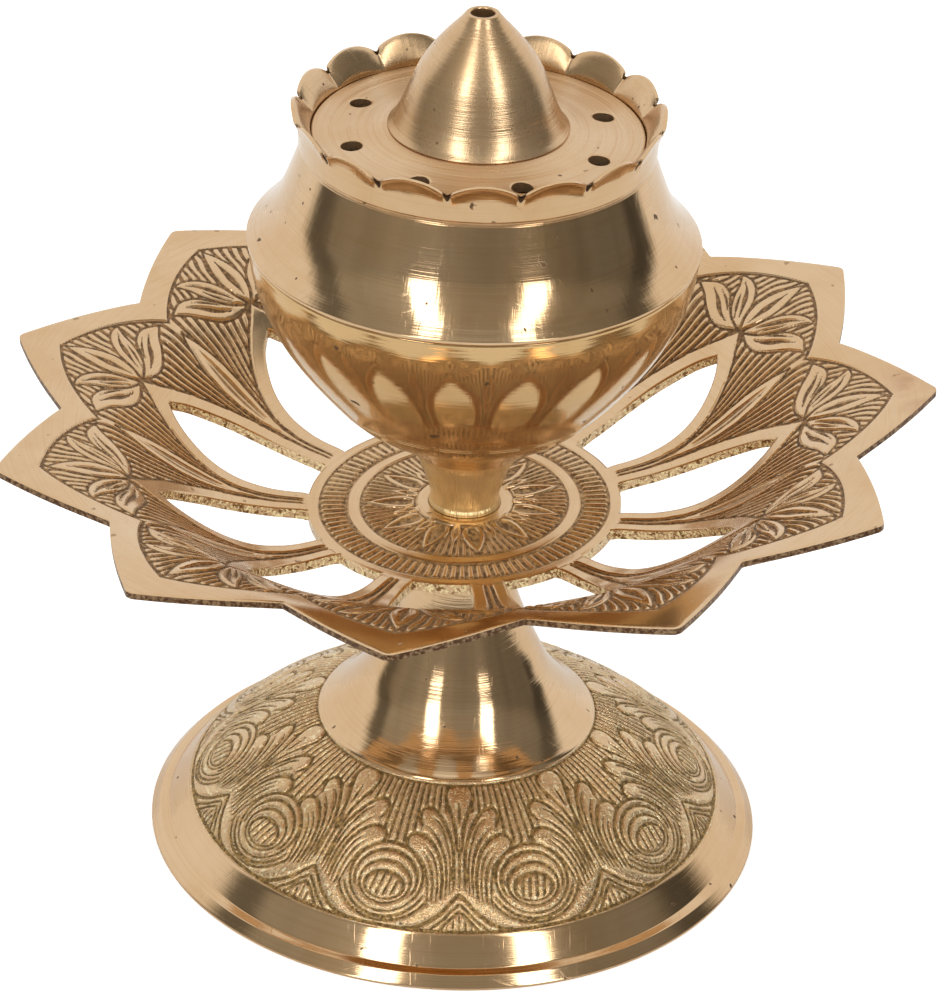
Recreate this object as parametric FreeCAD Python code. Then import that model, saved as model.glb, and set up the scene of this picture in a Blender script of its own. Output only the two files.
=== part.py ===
import FreeCAD, Part
import math
import os

# Table-top brass incense burner: hollow pedestal foot, pierced lotus tray,
# turned stem, two-part pot with a scalloped lip, perforated lid plate and a
# hollow vent cone.  The pieces from foot to lower bowl are clamped by one
# central tie rod.
# Millimetres, +Z up, origin at the centre of the foot's resting plane.
# Outline tables hold (radius, height) points unless noted otherwise.

Vector = FreeCAD.Vector

# ------------------------------------------- tie rod and its fasteners (M4)
# Threads are plain cylinders.
ROD_R = 2.0
ROD_CLEAR_R = ROD_R + 0.15    # clearance bore in every stacked piece
ROD_CHAMFER = 0.3
ROD_PAST_FOOT_NUT = 2.1       # rod ends standing out beyond the nuts
ROD_PAST_BOWL_NUT = 1.3
NUT_ACROSS_FLATS = 7.0
NUT_H = 3.2
NUT_BORE_R = ROD_R + 0.02
NUT_CHAMFER = 0.35            # radial width of the corner chamfer
NUT_CHAMFER_SLOPE = 0.6       # chamfer height over its width
WASHER_R = 4.5
WASHER_T = 0.8

# ------------------------------------------------------------ pedestal foot
# upright edge, bevelled rim band, small step in, plain flange
FOOT_RIM = [(42.7, 0.0), (42.7, 0.35), (41.3, 1.6), (40.3, 1.8), (37.4, 5.3)]
FOOT_DOME = [FOOT_RIM[-1],
             (34.2, 8.35), (31.0, 10.9), (28.0, 13.05),
             (25.0, 14.9), (22.1, 16.5), (19.3, 17.7)]
TRUMPET = [FOOT_DOME[-1],
           (16.2, 20.5), (13.4, 24.0), (11.5, 27.6), (9.8, 31.3),
           (7.75, 36.9), (6.5, 42.0), (5.95, 46.0), (5.8, 49.5)]
# hollow underside, from the inner edge of the resting ring up to the neck
FOOT_INNER = [(40.2, 0.0), (38.6, 1.3), (35.6, 4.3), (31.9, 7.9),
              (26.0, 12.3), (21.6, 14.6), (17.9, 16.6), (14.6, 19.6),
              (11.8, 23.3), (9.9, 27.1), (8.3, 31.0), (6.9, 35.5)]
NECK_LEDGE_Z = FOOT_INNER[-1][1]   # underside of the neck, bears the washer
NECK_TOP_Z = TRUMPET[-1][1]        # seat of the tray

# ------------------------------------------------------- pierced lotus tray
TRAY_T = 1.5                  # wall of the dish at the hub
TRAY_RIM_T = 0.95             # wall at the petal edges
THINNING_R0 = 22.4            # the wall thins between these two radii
THINNING_R1 = 45.2
HUB_TOP_Z = NECK_TOP_Z + TRAY_T
# upper surface: radius, height above the hub top
TRAY_TOP = [(20.1, 0.0), (22.4, 0.3), (27.0, 0.95), (32.0, 2.5),
            (37.0, 5.3), (42.4, 9.35), (45.2, 11.5), (48.2, 13.4),
            (53.4, 15.3), (58.0, 16.1), (64.5, 16.8)]
PETALS = 11
PETAL_PITCH = 360.0 / PETALS
TIP_R = 63.85                 # petal tips before rounding
TIP_ROUND = 1.3
NOTCH_R = 53.9                # notches between petals
TIP_AZ = 1.1                  # azimuth of one petal tip, degrees from +X
EDGE_BULGE = 0.55             # outward bow of each petal edge
LEAN = 3.0                    # the dish sits askew on its level boss, degrees
LEAN_AZ = 26.0                # azimuth of the raised side, degrees
BOSS_R = 6.4                  # level boss clamped between foot and stem
# slot outline up to its pointed outer end: radius, half width
SLOT_HALF = [(21.35, 3.75), (24.6, 4.6), (28.0, 5.2), (31.5, 5.45),
             (35.0, 5.0), (38.0, 3.7), (40.4, 2.0), (42.2, 0.0)]
TOOL_Z = 40.0                 # foot of the upright petal and slot tools
TOOL_H = 50.0

# --------------------------------------------- turned stem, tray to pot
STEM_FOOT = [(4.95, HUB_TOP_Z), (4.95, 51.4)]
STEM_FLARE = [STEM_FOOT[-1],
              (4.7, 51.85), (4.72, 52.6), (4.92, 53.6), (5.2, 54.6),
              (5.6, 55.8), (6.05, 56.95), (6.55, 58.0), (7.1, 59.0),
              (7.65, 59.8), (8.05, 60.3)]
STEM_TOP_Z = STEM_FLARE[-1][1]

# ------------------------------------------------------- lower half of pot
BOWL_OUT = [(8.15, STEM_TOP_Z), (8.9, 61.0), (10.5, 62.4), (12.0, 63.75),
            (13.2, 64.6), (14.4, 65.2), (15.7, 66.0), (18.2, 68.2),
            (21.7, 72.3), (24.6, 76.2), (26.8, 79.9), (28.5, 83.8),
            (29.45, 87.4), (29.75, 90.5)]
BOWL_IN = [(8.2, 62.1), (9.5, 63.2), (11.2, 64.75), (13.9, 66.75),
           (17.1, 69.7), (20.5, 73.5), (23.2, 77.1), (25.0, 80.3), (25.9, 83.8)]
BOWL_FLOOR_Z = BOWL_IN[0][1]
SEAT_R = 29.6                 # outer edge of the seat
SEAT_Z = 90.7                 # shoulder below the upper half
SPIGOT_R = 27.1               # rim that enters the upper half
SPIGOT_IN_R = BOWL_IN[-1][0]
SPIGOT_TOP_Z = 92.0
SPIGOT_CHAMFER = 0.3

# ------------------------------------- upper half of pot, with scalloped lip
COLLAR_FOOT_Z = SEAT_Z + 0.05      # parting gap at the belt
COLLAR_BORE_R = SPIGOT_R + 0.1     # running clearance on the spigot
COLLAR_BORE_CHAMFER = 0.3
COLLAR_OUT = [(30.0, 91.35), (29.35, 92.0), (28.38, 93.0), (27.55, 94.0),
              (26.85, 95.0), (26.26, 96.0), (25.76, 97.0), (25.34, 98.0),
              (24.57, 100.0), (23.84, 102.0), (23.1, 104.1)]
COLLAR_R = COLLAR_OUT[0][0]
COLLAR_FOOT_R = COLLAR_R - 0.15    # outer edge is chamfered at the foot
COLLAR_EDGE_Z = COLLAR_FOOT_Z + 0.2
COLLAR_IN = [(26.9, 92.15), (25.65, 93.7), (24.6, 95.4), (23.75, 97.4),
             (23.0, 99.5), (22.3, 101.6), (21.75, 103.6)]
LEDGE_R = 20.4                # opening of the ledge that carries the lid plate
LEDGE_Z0 = COLLAR_IN[-1][1]
LEDGE_Z1 = LEDGE_Z0 + 1.5
LIP_OUT = [(23.3, 104.35), (23.45, 106.2), (23.65, 107.8), (24.1, 109.0), (24.7, 110.0)]
LIP_IN = [(21.82, 107.0), (22.25, 108.1), (23.0, 109.1), (24.0, 110.0)]
LIP_TOP_Z = LIP_OUT[-1][1]
SCALLOPS = 16
SCALLOP_PITCH = 360.0 / SCALLOPS
SCALLOP_R = 23.8              # radius at which the lobes are laid out
NOTCH_AZ = 13.75              # azimuth of one notch of the lip, degrees
LOBE_RISE = 1.65              # height of a lobe above the notches

# ------------------------------------------------------ perforated lid plate
PLATE_Z0 = LEDGE_Z1 + 0.05
# upper surface, from the rim inward to the cone's seat
PLATE_TOP = [(21.7, 106.5), (19.6, 106.4), (17.25, 106.45),
             (14.9, 106.7), (13.2, 107.02), (11.9, 107.3)]
PLATE_R = PLATE_TOP[0][0]
PLATE_TOP_Z = PLATE_TOP[-1][1]
PLATE_BORE_R = 8.0
HOLES = 8
HOLE_R = 1.43
HOLE_PITCH_R = 17.25          # pitch circle radius of the stick holes
HOLE_AZ = 19.7                # azimuth of one hole, degrees

# ---------------------------------------------------------------- vent cone
CONE_OUT = [(PLATE_TOP[-1][0], 107.35), (11.2, 108.3), (10.35, 109.9),
            (9.7, 111.5), (8.95, 113.4), (8.2, 115.2), (7.2, 117.0),
            (6.0, 118.7), (4.5, 120.5), (3.1, 122.0), (2.35, 122.9)]
CONE_IN = [(6.5, 104.6), (6.5, 111.5), (5.4, 115.4), (3.6, 118.6), (1.55, 120.9)]
CONE_TIP_R = 2.05
CONE_TOP_Z = 123.2
CONE_HOLE_R = CONE_IN[-1][0]
CONE_HOLE_FLARE = 0.1         # widening of the hole at the tip
CONE_HOLE_FLARE_H = 0.15
CONE_SPIGOT_R = PLATE_BORE_R - 0.02
CONE_SPIGOT_Z = CONE_IN[0][1]
CONE_SPIGOT_CHAMFER = 0.2


# ------------------------------------------------------------------ helpers
def section_points(outline):
    """Points of the XZ plane for a (radius, height) outline."""
    return [Vector(radius, 0.0, z) for radius, z in outline]


def smooth_edge(points):
    curve = Part.BSplineCurve()
    curve.interpolate(points)
    return curve.toShape()


def spline(outline):
    """One smooth section edge, as a list."""
    return [smooth_edge(section_points(outline))]


def lines(outline):
    """Straight section edges from point to point."""
    points = section_points(outline)
    return [Part.makeLine(start, end) for start, end in zip(points[:-1], points[1:])]


def backwards(outline):
    return list(reversed(outline))


def one_solid(shape):
    """The solid itself, or the largest one of a compound."""
    if shape.ShapeType == "Solid":
        return shape
    return max(shape.Solids, key=lambda solid: solid.Volume)


def turned(edges):
    """Solid of revolution about +Z from an ordered closed set of XZ edges."""
    face = Part.Face(Part.Wire(edges))
    solid = one_solid(face.revolve(Vector(0, 0, 0), Vector(0, 0, 1), 360.0))
    # the direction of the outline can turn the solid inside out
    if solid.Volume < 0:
        solid.reverse()
    return solid


def cylinder(radius, height, z):
    return Part.makeCylinder(radius, height, Vector(0, 0, z))


def polar(radius, azimuth, z=0.0):
    angle = math.radians(azimuth)
    return Vector(radius * math.cos(angle), radius * math.sin(angle), z)


# ------------------------------------------------------------ foot and tray
def pedestal_foot():
    neck = [TRUMPET[-1], (ROD_CLEAR_R, NECK_TOP_Z),
            (ROD_CLEAR_R, NECK_LEDGE_Z), FOOT_INNER[-1]]
    return turned(lines(FOOT_RIM) + spline(FOOT_DOME) + spline(TRUMPET) + lines(neck)
                  + spline(backwards(FOOT_INNER)) + lines([FOOT_INNER[0], FOOT_RIM[0]]))


def tray_underside(top):
    """The top outline moved down square to itself by the local wall."""
    under = []
    last = len(top) - 1
    for i, (radius, z) in enumerate(top):
        before = top[max(i - 1, 0)]
        after = top[min(i + 1, last)]
        run, rise = after[0] - before[0], after[1] - before[1]
        if i == 0:
            run, rise = 1.0, 0.0      # level where it meets the flat hub
        length = math.hypot(run, rise)
        share = (radius - THINNING_R0) / (THINNING_R1 - THINNING_R0)
        share = min(max(share, 0.0), 1.0)
        wall = TRAY_T + (TRAY_RIM_T - TRAY_T) * share
        under.append((radius + rise / length * wall, z - run / length * wall))
    return under


def tray_dish():
    top = [(radius, HUB_TOP_Z + z) for radius, z in TRAY_TOP]
    under = tray_underside(top)
    bore_top = (ROD_CLEAR_R, HUB_TOP_Z)
    bore_foot = (ROD_CLEAR_R, HUB_TOP_Z - TRAY_T)
    return turned(lines([bore_top, top[0]]) + spline(top) + lines([top[-1], under[-1]])
                  + spline(backwards(under)) + lines([under[0], bore_foot, bore_top]))


def petal_prism():
    """Upright prism with the plan outline of all petals."""
    outline = []
    for i in range(PETALS):
        azimuth = TIP_AZ + i * PETAL_PITCH
        notch_before = polar(NOTCH_R, azimuth - PETAL_PITCH / 2.0, TOOL_Z)
        tip = polar(TIP_R, azimuth, TOOL_Z)
        notch_after = polar(NOTCH_R, azimuth + PETAL_PITCH / 2.0, TOOL_Z)
        for start, end in ((notch_before, tip), (tip, notch_after)):
            # the outline runs counter-clockwise, so outward is to its right
            outward = Vector(end.y - start.y, start.x - end.x, 0)
            outward.normalize()
            middle = (start + end) * 0.5 + outward * EDGE_BULGE
            outline.append(Part.Arc(start, middle, end).toShape())
    prism = Part.Face(Part.Wire(outline)).extrude(Vector(0, 0, TOOL_H))
    tips = []
    for edge in prism.Edges:
        box = edge.BoundBox
        upright = abs(box.ZLength - TOOL_H) < 0.01
        if upright and math.hypot(box.Center.x, box.Center.y) > TIP_R - 0.5:
            tips.append(edge)
    return prism.makeFillet(TIP_ROUND, tips)


def slot_tool(azimuth):
    along = polar(1.0, azimuth)
    across = Vector(-along.y, along.x, 0)

    def side(sign):
        return [along * math.sqrt(radius ** 2 - half ** 2) + across * (sign * half)
                + Vector(0, 0, TOOL_Z) for radius, half in SLOT_HALF]

    clockwise, counter = side(-1), side(1)
    inner_middle = polar(SLOT_HALF[0][0], azimuth, TOOL_Z)
    inner_end = Part.Arc(clockwise[0], inner_middle, counter[0]).toShape()
    wire = Part.Wire([inner_end, smooth_edge(counter), smooth_edge(clockwise)])
    return Part.Face(wire).extrude(Vector(0, 0, TOOL_H))


def petal_tray():
    tray = tray_dish().common(petal_prism())
    slots = [slot_tool(TIP_AZ + i * PETAL_PITCH) for i in range(PETALS)]
    tray = one_solid(tray.cut(slots)).copy()
    # lean the dish about the middle of its boss, then set the boss in level
    raised = polar(1.0, LEAN_AZ)
    tray.rotate(Vector(0, 0, HUB_TOP_Z - TRAY_T / 2.0), Vector(raised.y, -raised.x, 0), LEAN)
    tray = tray.cut(cylinder(BOSS_R, 6.0, HUB_TOP_Z - 4.0))
    boss = cylinder(BOSS_R, TRAY_T, HUB_TOP_Z - TRAY_T)
    boss = boss.cut(cylinder(ROD_CLEAR_R, 6.0, HUB_TOP_Z - 4.0))
    return one_solid(tray.fuse(boss).removeSplitter())


# ------------------------------------------------------------- stem and pot
def bowl_stem():
    bore = [STEM_FLARE[-1], (ROD_CLEAR_R, STEM_TOP_Z),
            (ROD_CLEAR_R, HUB_TOP_Z), STEM_FOOT[0]]
    return turned(lines(STEM_FOOT) + spline(STEM_FLARE) + lines(bore))


def lower_bowl():
    rim = [BOWL_OUT[-1], (SEAT_R, SEAT_Z), (SPIGOT_R, SEAT_Z),
           (SPIGOT_R, SPIGOT_TOP_Z - SPIGOT_CHAMFER),
           (SPIGOT_R - SPIGOT_CHAMFER, SPIGOT_TOP_Z),
           (SPIGOT_IN_R, SPIGOT_TOP_Z), BOWL_IN[-1]]
    bore = [BOWL_IN[0], (ROD_CLEAR_R, BOWL_FLOOR_Z),
            (ROD_CLEAR_R, STEM_TOP_Z), BOWL_OUT[0]]
    return turned(spline(BOWL_OUT) + lines(rim) + spline(backwards(BOWL_IN)) + lines(bore))


def lip_trim():
    """Pieces above the lobes: round arcs that meet in pointed notches."""
    half_chord = SCALLOP_R * math.sin(math.pi / SCALLOPS)
    lobe_r = (half_chord ** 2 + LOBE_RISE ** 2) / (2.0 * LOBE_RISE)
    ring = cylinder(30.0, 8.0, LIP_TOP_Z - 4.0).cut(cylinder(15.0, 8.0, LIP_TOP_Z - 4.0))
    lobes = []
    for i in range(SCALLOPS):
        azimuth = NOTCH_AZ + (i + 0.5) * SCALLOP_PITCH
        start = polar(12.0, azimuth, LIP_TOP_Z - lobe_r)
        lobes.append(Part.makeCylinder(lobe_r, 22.0, start, polar(1.0, azimuth)))
    return [solid for solid in ring.cut(lobes).Solids
            if solid.BoundBox.ZMax > LIP_TOP_Z + 1.0]


def pot_collar():
    foot = (COLLAR_FOOT_R, COLLAR_FOOT_Z)
    ledge = [LIP_IN[0], (LIP_IN[0][0], LEDGE_Z1), (LEDGE_R, LEDGE_Z1),
             (LEDGE_R, LEDGE_Z0), COLLAR_IN[-1]]
    bore = [COLLAR_IN[0], (COLLAR_BORE_R, COLLAR_IN[0][1]),
            (COLLAR_BORE_R, COLLAR_FOOT_Z + COLLAR_BORE_CHAMFER),
            (COLLAR_BORE_R + COLLAR_BORE_CHAMFER, COLLAR_FOOT_Z), foot]
    collar = turned(lines([foot, (COLLAR_R, COLLAR_EDGE_Z), COLLAR_OUT[0]])
                    + spline(COLLAR_OUT) + lines([COLLAR_OUT[-1], LIP_OUT[0]])
                    + spline(LIP_OUT) + lines([LIP_OUT[-1], LIP_IN[-1]])
                    + spline(backwards(LIP_IN)) + lines(ledge)
                    + spline(backwards(COLLAR_IN)) + lines(bore))
    return one_solid(collar.cut(lip_trim()))


# ------------------------------------------------------- lid plate and cone
def lid_plate():
    rim_foot = (PLATE_R, PLATE_Z0)
    bore = [PLATE_TOP[-1], (PLATE_BORE_R, PLATE_TOP_Z), (PLATE_BORE_R, PLATE_Z0), rim_foot]
    plate = turned(lines([rim_foot, PLATE_TOP[0]]) + spline(PLATE_TOP) + lines(bore))
    drills = []
    for i in range(HOLES):
        start = polar(HOLE_PITCH_R, HOLE_AZ + i * 360.0 / HOLES, PLATE_Z0 - 2.0)
        drills.append(Part.makeCylinder(HOLE_R, 6.0, start))
    return one_solid(plate.cut(drills))


def vent_cone():
    tip = [CONE_OUT[-1], (CONE_TIP_R, CONE_TOP_Z),
           (CONE_HOLE_R + CONE_HOLE_FLARE, CONE_TOP_Z),
           (CONE_HOLE_R, CONE_TOP_Z - CONE_HOLE_FLARE_H), CONE_IN[-1]]
    spigot = [CONE_IN[0], (CONE_SPIGOT_R - CONE_SPIGOT_CHAMFER, CONE_SPIGOT_Z),
              (CONE_SPIGOT_R, CONE_SPIGOT_Z + CONE_SPIGOT_CHAMFER),
              (CONE_SPIGOT_R, PLATE_TOP_Z), (CONE_OUT[0][0], PLATE_TOP_Z), CONE_OUT[0]]
    return turned(spline(CONE_OUT) + lines(tip) + lines(backwards(CONE_IN)) + lines(spigot))


# --------------------------------------------------- tie rod, nuts, washers
def tie_rod(z0, z1):
    end_r = ROD_R - ROD_CHAMFER
    return turned(lines([(0, z0), (end_r, z0), (ROD_R, z0 + ROD_CHAMFER),
                         (ROD_R, z1 - ROD_CHAMFER), (end_r, z1), (0, z1), (0, z0)]))


def hex_nut(z0):
    z1 = z0 + NUT_H
    corner_r = NUT_ACROSS_FLATS / math.sqrt(3.0)
    flat_r = corner_r - NUT_CHAMFER
    drop = NUT_CHAMFER * NUT_CHAMFER_SLOPE
    corners = [polar(corner_r, 60.0 * i + 30.0, z0) for i in range(7)]
    body = Part.Face(Part.makePolygon(corners)).extrude(Vector(0, 0, NUT_H))
    crown = turned(lines([(0, z0), (flat_r, z0), (corner_r, z0 + drop),
                          (corner_r, z1 - drop), (flat_r, z1), (0, z1), (0, z0)]))
    body = body.common(crown)
    return one_solid(body.cut(cylinder(NUT_BORE_R, NUT_H + 2.0, z0 - 1.0)))


def washer(z0):
    bore = cylinder(ROD_CLEAR_R, WASHER_T + 2.0, z0 - 1.0)
    return cylinder(WASHER_R, WASHER_T, z0).cut(bore)


# -------------------------------------------------------------------- export
foot_washer_z = NECK_LEDGE_Z - WASHER_T
foot_nut_z = foot_washer_z - NUT_H
bowl_nut_z = BOWL_FLOOR_Z + WASHER_T
rod_z0 = foot_nut_z - ROD_PAST_FOOT_NUT
rod_z1 = bowl_nut_z + NUT_H + ROD_PAST_BOWL_NUT

pieces = {
    "pedestal_foot": pedestal_foot(),
    "petal_tray": petal_tray(),
    "bowl_stem": bowl_stem(),
    "lower_bowl": lower_bowl(),
    "pot_collar": pot_collar(),
    "lid_plate": lid_plate(),
    "vent_cone": vent_cone(),
    "tie_rod": tie_rod(rod_z0, rod_z1),
    "foot_washer": washer(foot_washer_z),
    "foot_nut": hex_nut(foot_nut_z),
    "bowl_washer": washer(BOWL_FLOOR_Z),
    "bowl_nut": hex_nut(bowl_nut_z),
}

os.makedirs("parts", exist_ok=True)
for name, shape in pieces.items():
    shape.exportStep("parts/%s.step" % name)
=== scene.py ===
# A brass pot on an engraved petal tray and a pedestal foot, under a drilled lid with a vent cone.
# The common axis is Z, the foot stands on z = 0 and the camera looks along +Y from the -Y side.
# Shapes are given in millimetres; materials, floor, world and camera are in metres.
import math

import bpy
import numpy as np
from mathutils import Matrix, Vector


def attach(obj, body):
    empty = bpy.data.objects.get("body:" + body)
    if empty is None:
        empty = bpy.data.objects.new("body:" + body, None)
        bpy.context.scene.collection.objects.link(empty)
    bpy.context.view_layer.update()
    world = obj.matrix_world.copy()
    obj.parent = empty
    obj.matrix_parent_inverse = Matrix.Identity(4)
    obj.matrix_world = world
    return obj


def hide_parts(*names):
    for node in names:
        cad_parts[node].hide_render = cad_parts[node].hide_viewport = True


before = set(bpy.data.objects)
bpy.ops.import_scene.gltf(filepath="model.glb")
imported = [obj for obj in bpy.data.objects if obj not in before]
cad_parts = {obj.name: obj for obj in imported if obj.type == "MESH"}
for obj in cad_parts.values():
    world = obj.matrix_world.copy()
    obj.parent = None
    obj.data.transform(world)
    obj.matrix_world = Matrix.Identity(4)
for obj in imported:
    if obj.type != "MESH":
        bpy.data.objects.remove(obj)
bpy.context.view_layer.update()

MM = 0.001                  # metres in one millimetre
BORE = 2.15                 # radius of the central bore
FOOT_TOP = 49.5             # seats of the stacked pieces
TRAY_FACE = 51.0
STEM_TOP = 60.3

PETALS = 11
PETAL_PITCH = 360.0 / PETALS
HALF_PETAL = np.radians(PETAL_PITCH / 2)
TIP_AZIMUTH = 1.1           # degrees, direction of the first petal's tip
LEAN = 3.0                  # degrees the dish leans, and the azimuth it leans towards
LEAN_AZIMUTH = 26.0

FOOT_UNITS = 10             # repeats of the engraving round the foot
HALF_UNIT = np.radians(180 / FOOT_UNITS)


# ------------------------------------------------------------- curves and fields
def smooth_step(start, end, x):
    """0 at start, 1 at end; start may be above end."""
    t = np.clip((x - start) / (end - start), 0, 1)
    return t * t * (3 - 2 * t)


def curve(points, per_span=8):
    """Catmull-Rom through the points."""
    ends = np.array(points, float)
    ends = np.vstack([2 * ends[0] - ends[1], ends, 2 * ends[-1] - ends[-2]])
    out = []
    t = np.linspace(0, 1, per_span, endpoint=False)[:, None]
    for i in range(1, len(ends) - 2):
        p0, p1, p2, p3 = ends[i - 1:i + 3]
        out.append(0.5 * ((2 * p1) + (-p0 + p2) * t + (2 * p0 - 5 * p1 + 4 * p2 - p3) * t ** 2
                          + (-p0 + 3 * p1 - 3 * p2 + p3) * t ** 3))
    out.append(ends[-2:-1])
    return np.vstack(out)


def line_distance(x, y, line):
    """Distance to a polyline and position along it, 0 to 1."""
    best = np.full(x.shape, 1e9)
    along = np.zeros(x.shape)
    lengths = np.hypot(*(line[1:] - line[:-1]).T)
    travelled = np.concatenate([[0], np.cumsum(lengths)])
    for i in range(len(line) - 1):
        start = line[i]
        span = line[i + 1] - start
        t = ((x - start[0]) * span[0] + (y - start[1]) * span[1]) / (span @ span + 1e-12)
        t = np.clip(t, 0, 1)
        dist = np.hypot(x - start[0] - t * span[0], y - start[1] - t * span[1])
        nearer = dist < best
        best = np.where(nearer, dist, best)
        along = np.where(nearer, (travelled[i] + t * lengths[i]) / travelled[-1], along)
    return best, along


def groove(x, y, line, half_width, taper=(0.25, 0.25), soft=0.5):
    """0 outside and 1 in the bottom of an engraved line that thins at its ends."""
    dist, t = line_distance(x, y, line)
    thin = np.minimum((t + 0.02) / max(taper[0], 1e-3), (1.02 - t) / max(taper[1], 1e-3))
    width = half_width * np.clip(thin, 0.12, 1)
    return 1 - smooth_step(width * soft, width * (1 + soft * 0.55), dist)


def inside(x, y, outline):
    """Signed distance to a closed outline, positive inside."""
    closed = np.vstack([outline, outline[:1]])
    dist, _ = line_distance(x, y, closed)
    within = np.zeros(x.shape, bool)
    for (x0, y0), (x1, y1) in zip(closed[:-1], closed[1:]):
        crosses = (y0 > y) != (y1 > y)
        x_cross = (x1 - x0) * (y - y0) / ((y1 - y0) if y1 != y0 else 1e-12) + x0
        within ^= crosses & (x < x_cross)
    return np.where(within, dist, -dist)


def bars(phase, duty=0.5, soft=0.16):
    """Raised bars: 1 on a bar, 0 in the cut between two; the phase counts bars."""
    off_centre = np.abs((phase + 0.5) % 1 - 0.5) * 2
    return 1 - smooth_step(duty - soft, duty + soft, off_centre)


# -------------------------------------------------------------- tray engraving
# All (x, y) in the petal's plan: y outwards along its centre line, x to one side.
BORDER = curve([(0, 57.85), (2.6, 56.75), (5.2, 55.35), (7.8, 53.6), (10.35, 51.4),
                (12.45, 49.15), (13.9, 47.2)])
FIELD = np.vstack([BORDER, [(30, 20)], [(-5, 20)], [(-5, 58.35)]])
BAND = np.vstack([
    curve([(0, 45.75), (1.2, 44.35), (2.7, 42.7), (4.3, 40.7), (5.7, 38.4), (6.8, 35.9),
           (7.45, 33.3), (7.6, 31.0), (7.25, 28.0), (6.6, 25.0), (5.95, 22.6)]),
    [(5.4, 20.0)], [(-2, 20.0)], [(-2, 45.75)]])
SLOT = curve([(3.75, 21.02), (4.6, 24.17), (5.2, 27.5), (5.45, 31.0), (5.0, 34.6),
              (3.7, 37.8), (2.0, 40.35), (0, 42.2)])


def leaf_outline(side, back):
    """Closed outline from a curve out and a curve back that share their end points."""
    return np.vstack([curve(side), curve(back)[1:-1]])


BLADE_SIDE = [(0, 46.1), (1.05, 47.6), (1.7, 49.7), (1.65, 51.9), (0.95, 54.4), (0, 56.7)]
BLADE = leaf_outline(BLADE_SIDE, [(-x, y) for x, y in reversed(BLADE_SIDE)])
UPPER_LEAF = leaf_outline(
    [(0.5, 46.0), (1.5, 47.6), (2.6, 49.9), (4.3, 51.7), (6.3, 52.6), (8.3, 52.5)],
    [(8.3, 52.5), (6.9, 51.0), (5.9, 49.4), (4.2, 47.6), (2.2, 46.3), (0.5, 46.0)])
LOWER_LEAF = leaf_outline(
    [(0.9, 45.85), (3.2, 46.6), (5.0, 47.7), (7.2, 49.2), (9.8, 49.4), (12.2, 47.9)],
    [(12.2, 47.9), (10.0, 47.1), (7.9, 45.9), (5.4, 45.0), (3.0, 45.1), (0.9, 45.85)])
# points, half width, taper at both ends, softness
VEINS = [
    ([(0, 47.3), (0, 50), (0, 54.2)], 0.72, (0.45, 0.55), 0.35),
    ([(1.9, 47.2), (3.6, 49.2), (5.2, 50.9), (6.9, 51.9)], 0.5, (0.5, 0.5), 0.4),
    ([(2.6, 46.9), (4.3, 48.6), (5.6, 50.2)], 0.24, (0.4, 0.4), 0.5),
    ([(3.0, 45.85), (5.4, 46.4), (7.8, 47.7), (9.8, 48.5)], 0.46, (0.5, 0.5), 0.4),
    ([(4.4, 47.0), (6.4, 48.2), (8.3, 48.9)], 0.2, (0.4, 0.4), 0.5),
]
HATCH_SPLIT = ([0, 5, 9, 12.2, 15], [45.9, 46.4, 48.2, 47.9, 46.6])   # x, y between the hatches
FAN_X, FAN_Y = 7.6, 27.5        # centre of the fan hatch
FAN_STEP = 4.3                  # degrees between its bars
# distance along the spoke line, half width
SPOKE_LEAF = ([22, 28, 30, 32, 34, 36, 38.5, 41, 43, 44.8, 46.4],
              [0.2, 0.24, 0.42, 0.8, 1.2, 1.55, 1.8, 1.75, 1.35, 0.75, 0.0])
SPOKE_CORE = ([31.5, 33, 36, 39, 42, 44.0], [0.0, 0.3, 0.62, 0.72, 0.4, 0.0])
# radius, half width of the leaves in the hub
SUN_LEAF = ([6.9, 8.2, 9.6, 11, 12.2, 13.3], [0.95, 1.5, 1.45, 1.05, 0.6, 0.0])
SUN_CORE = ([7.2, 8.2, 9.6, 11.0, 12.3], [0.5, 0.85, 0.8, 0.45, 0.0])
SMALL_LEAF = ([6.9, 8.0, 9.6, 10.6], [0.5, 0.75, 0.4, 0.0])
SMALL_CORE = ([7.2, 8.2, 9.4], [0.2, 0.42, 0.0])
TICKS = 9                       # ticks of the hub ring in one petal


def moat(relief, dist, where=True):
    """Sinks a narrow outline round a raised shape."""
    sunk = np.minimum(relief, smooth_step(-0.2, -0.42, dist))
    return np.where((dist > -0.42) & where, sunk, relief)


def petal_leaves(x, y, side, field, upper):
    """Two hatches with three veined leaves over them."""
    upper_hatch = bars((x * 0.97 + (58 - y) * 0.22) / 1.2 + 0.15 * np.sin(y * 0.9 + x),
                       duty=0.54, soft=0.17)
    upper_hatch *= smooth_step(0.35, 0.6, field)
    fan = np.degrees(np.arctan2(side - FAN_X, y - FAN_Y))
    lower_hatch = bars(fan * (1 / FAN_STEP) + 0.1 * np.sin(y * 0.8) + 0.15, duty=0.54, soft=0.16)
    relief = np.where(upper, upper_hatch * 0.86, lower_hatch * 0.86)
    on_leaf = np.zeros(x.shape, bool)
    for across, outline in ((x, BLADE), (side, UPPER_LEAF), (side, LOWER_LEAF)):
        dist = inside(across, y, outline)
        relief = moat(relief, dist)
        relief = np.maximum(relief, smooth_step(-0.06, 0.16, dist))
        on_leaf |= dist > 0
    veins = np.zeros(x.shape)
    for points, half_width, taper, soft in VEINS:
        veins = np.maximum(veins, groove(side, y, curve(points), half_width, taper, soft))
    return relief * (1 - 0.95 * veins * on_leaf)


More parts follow.
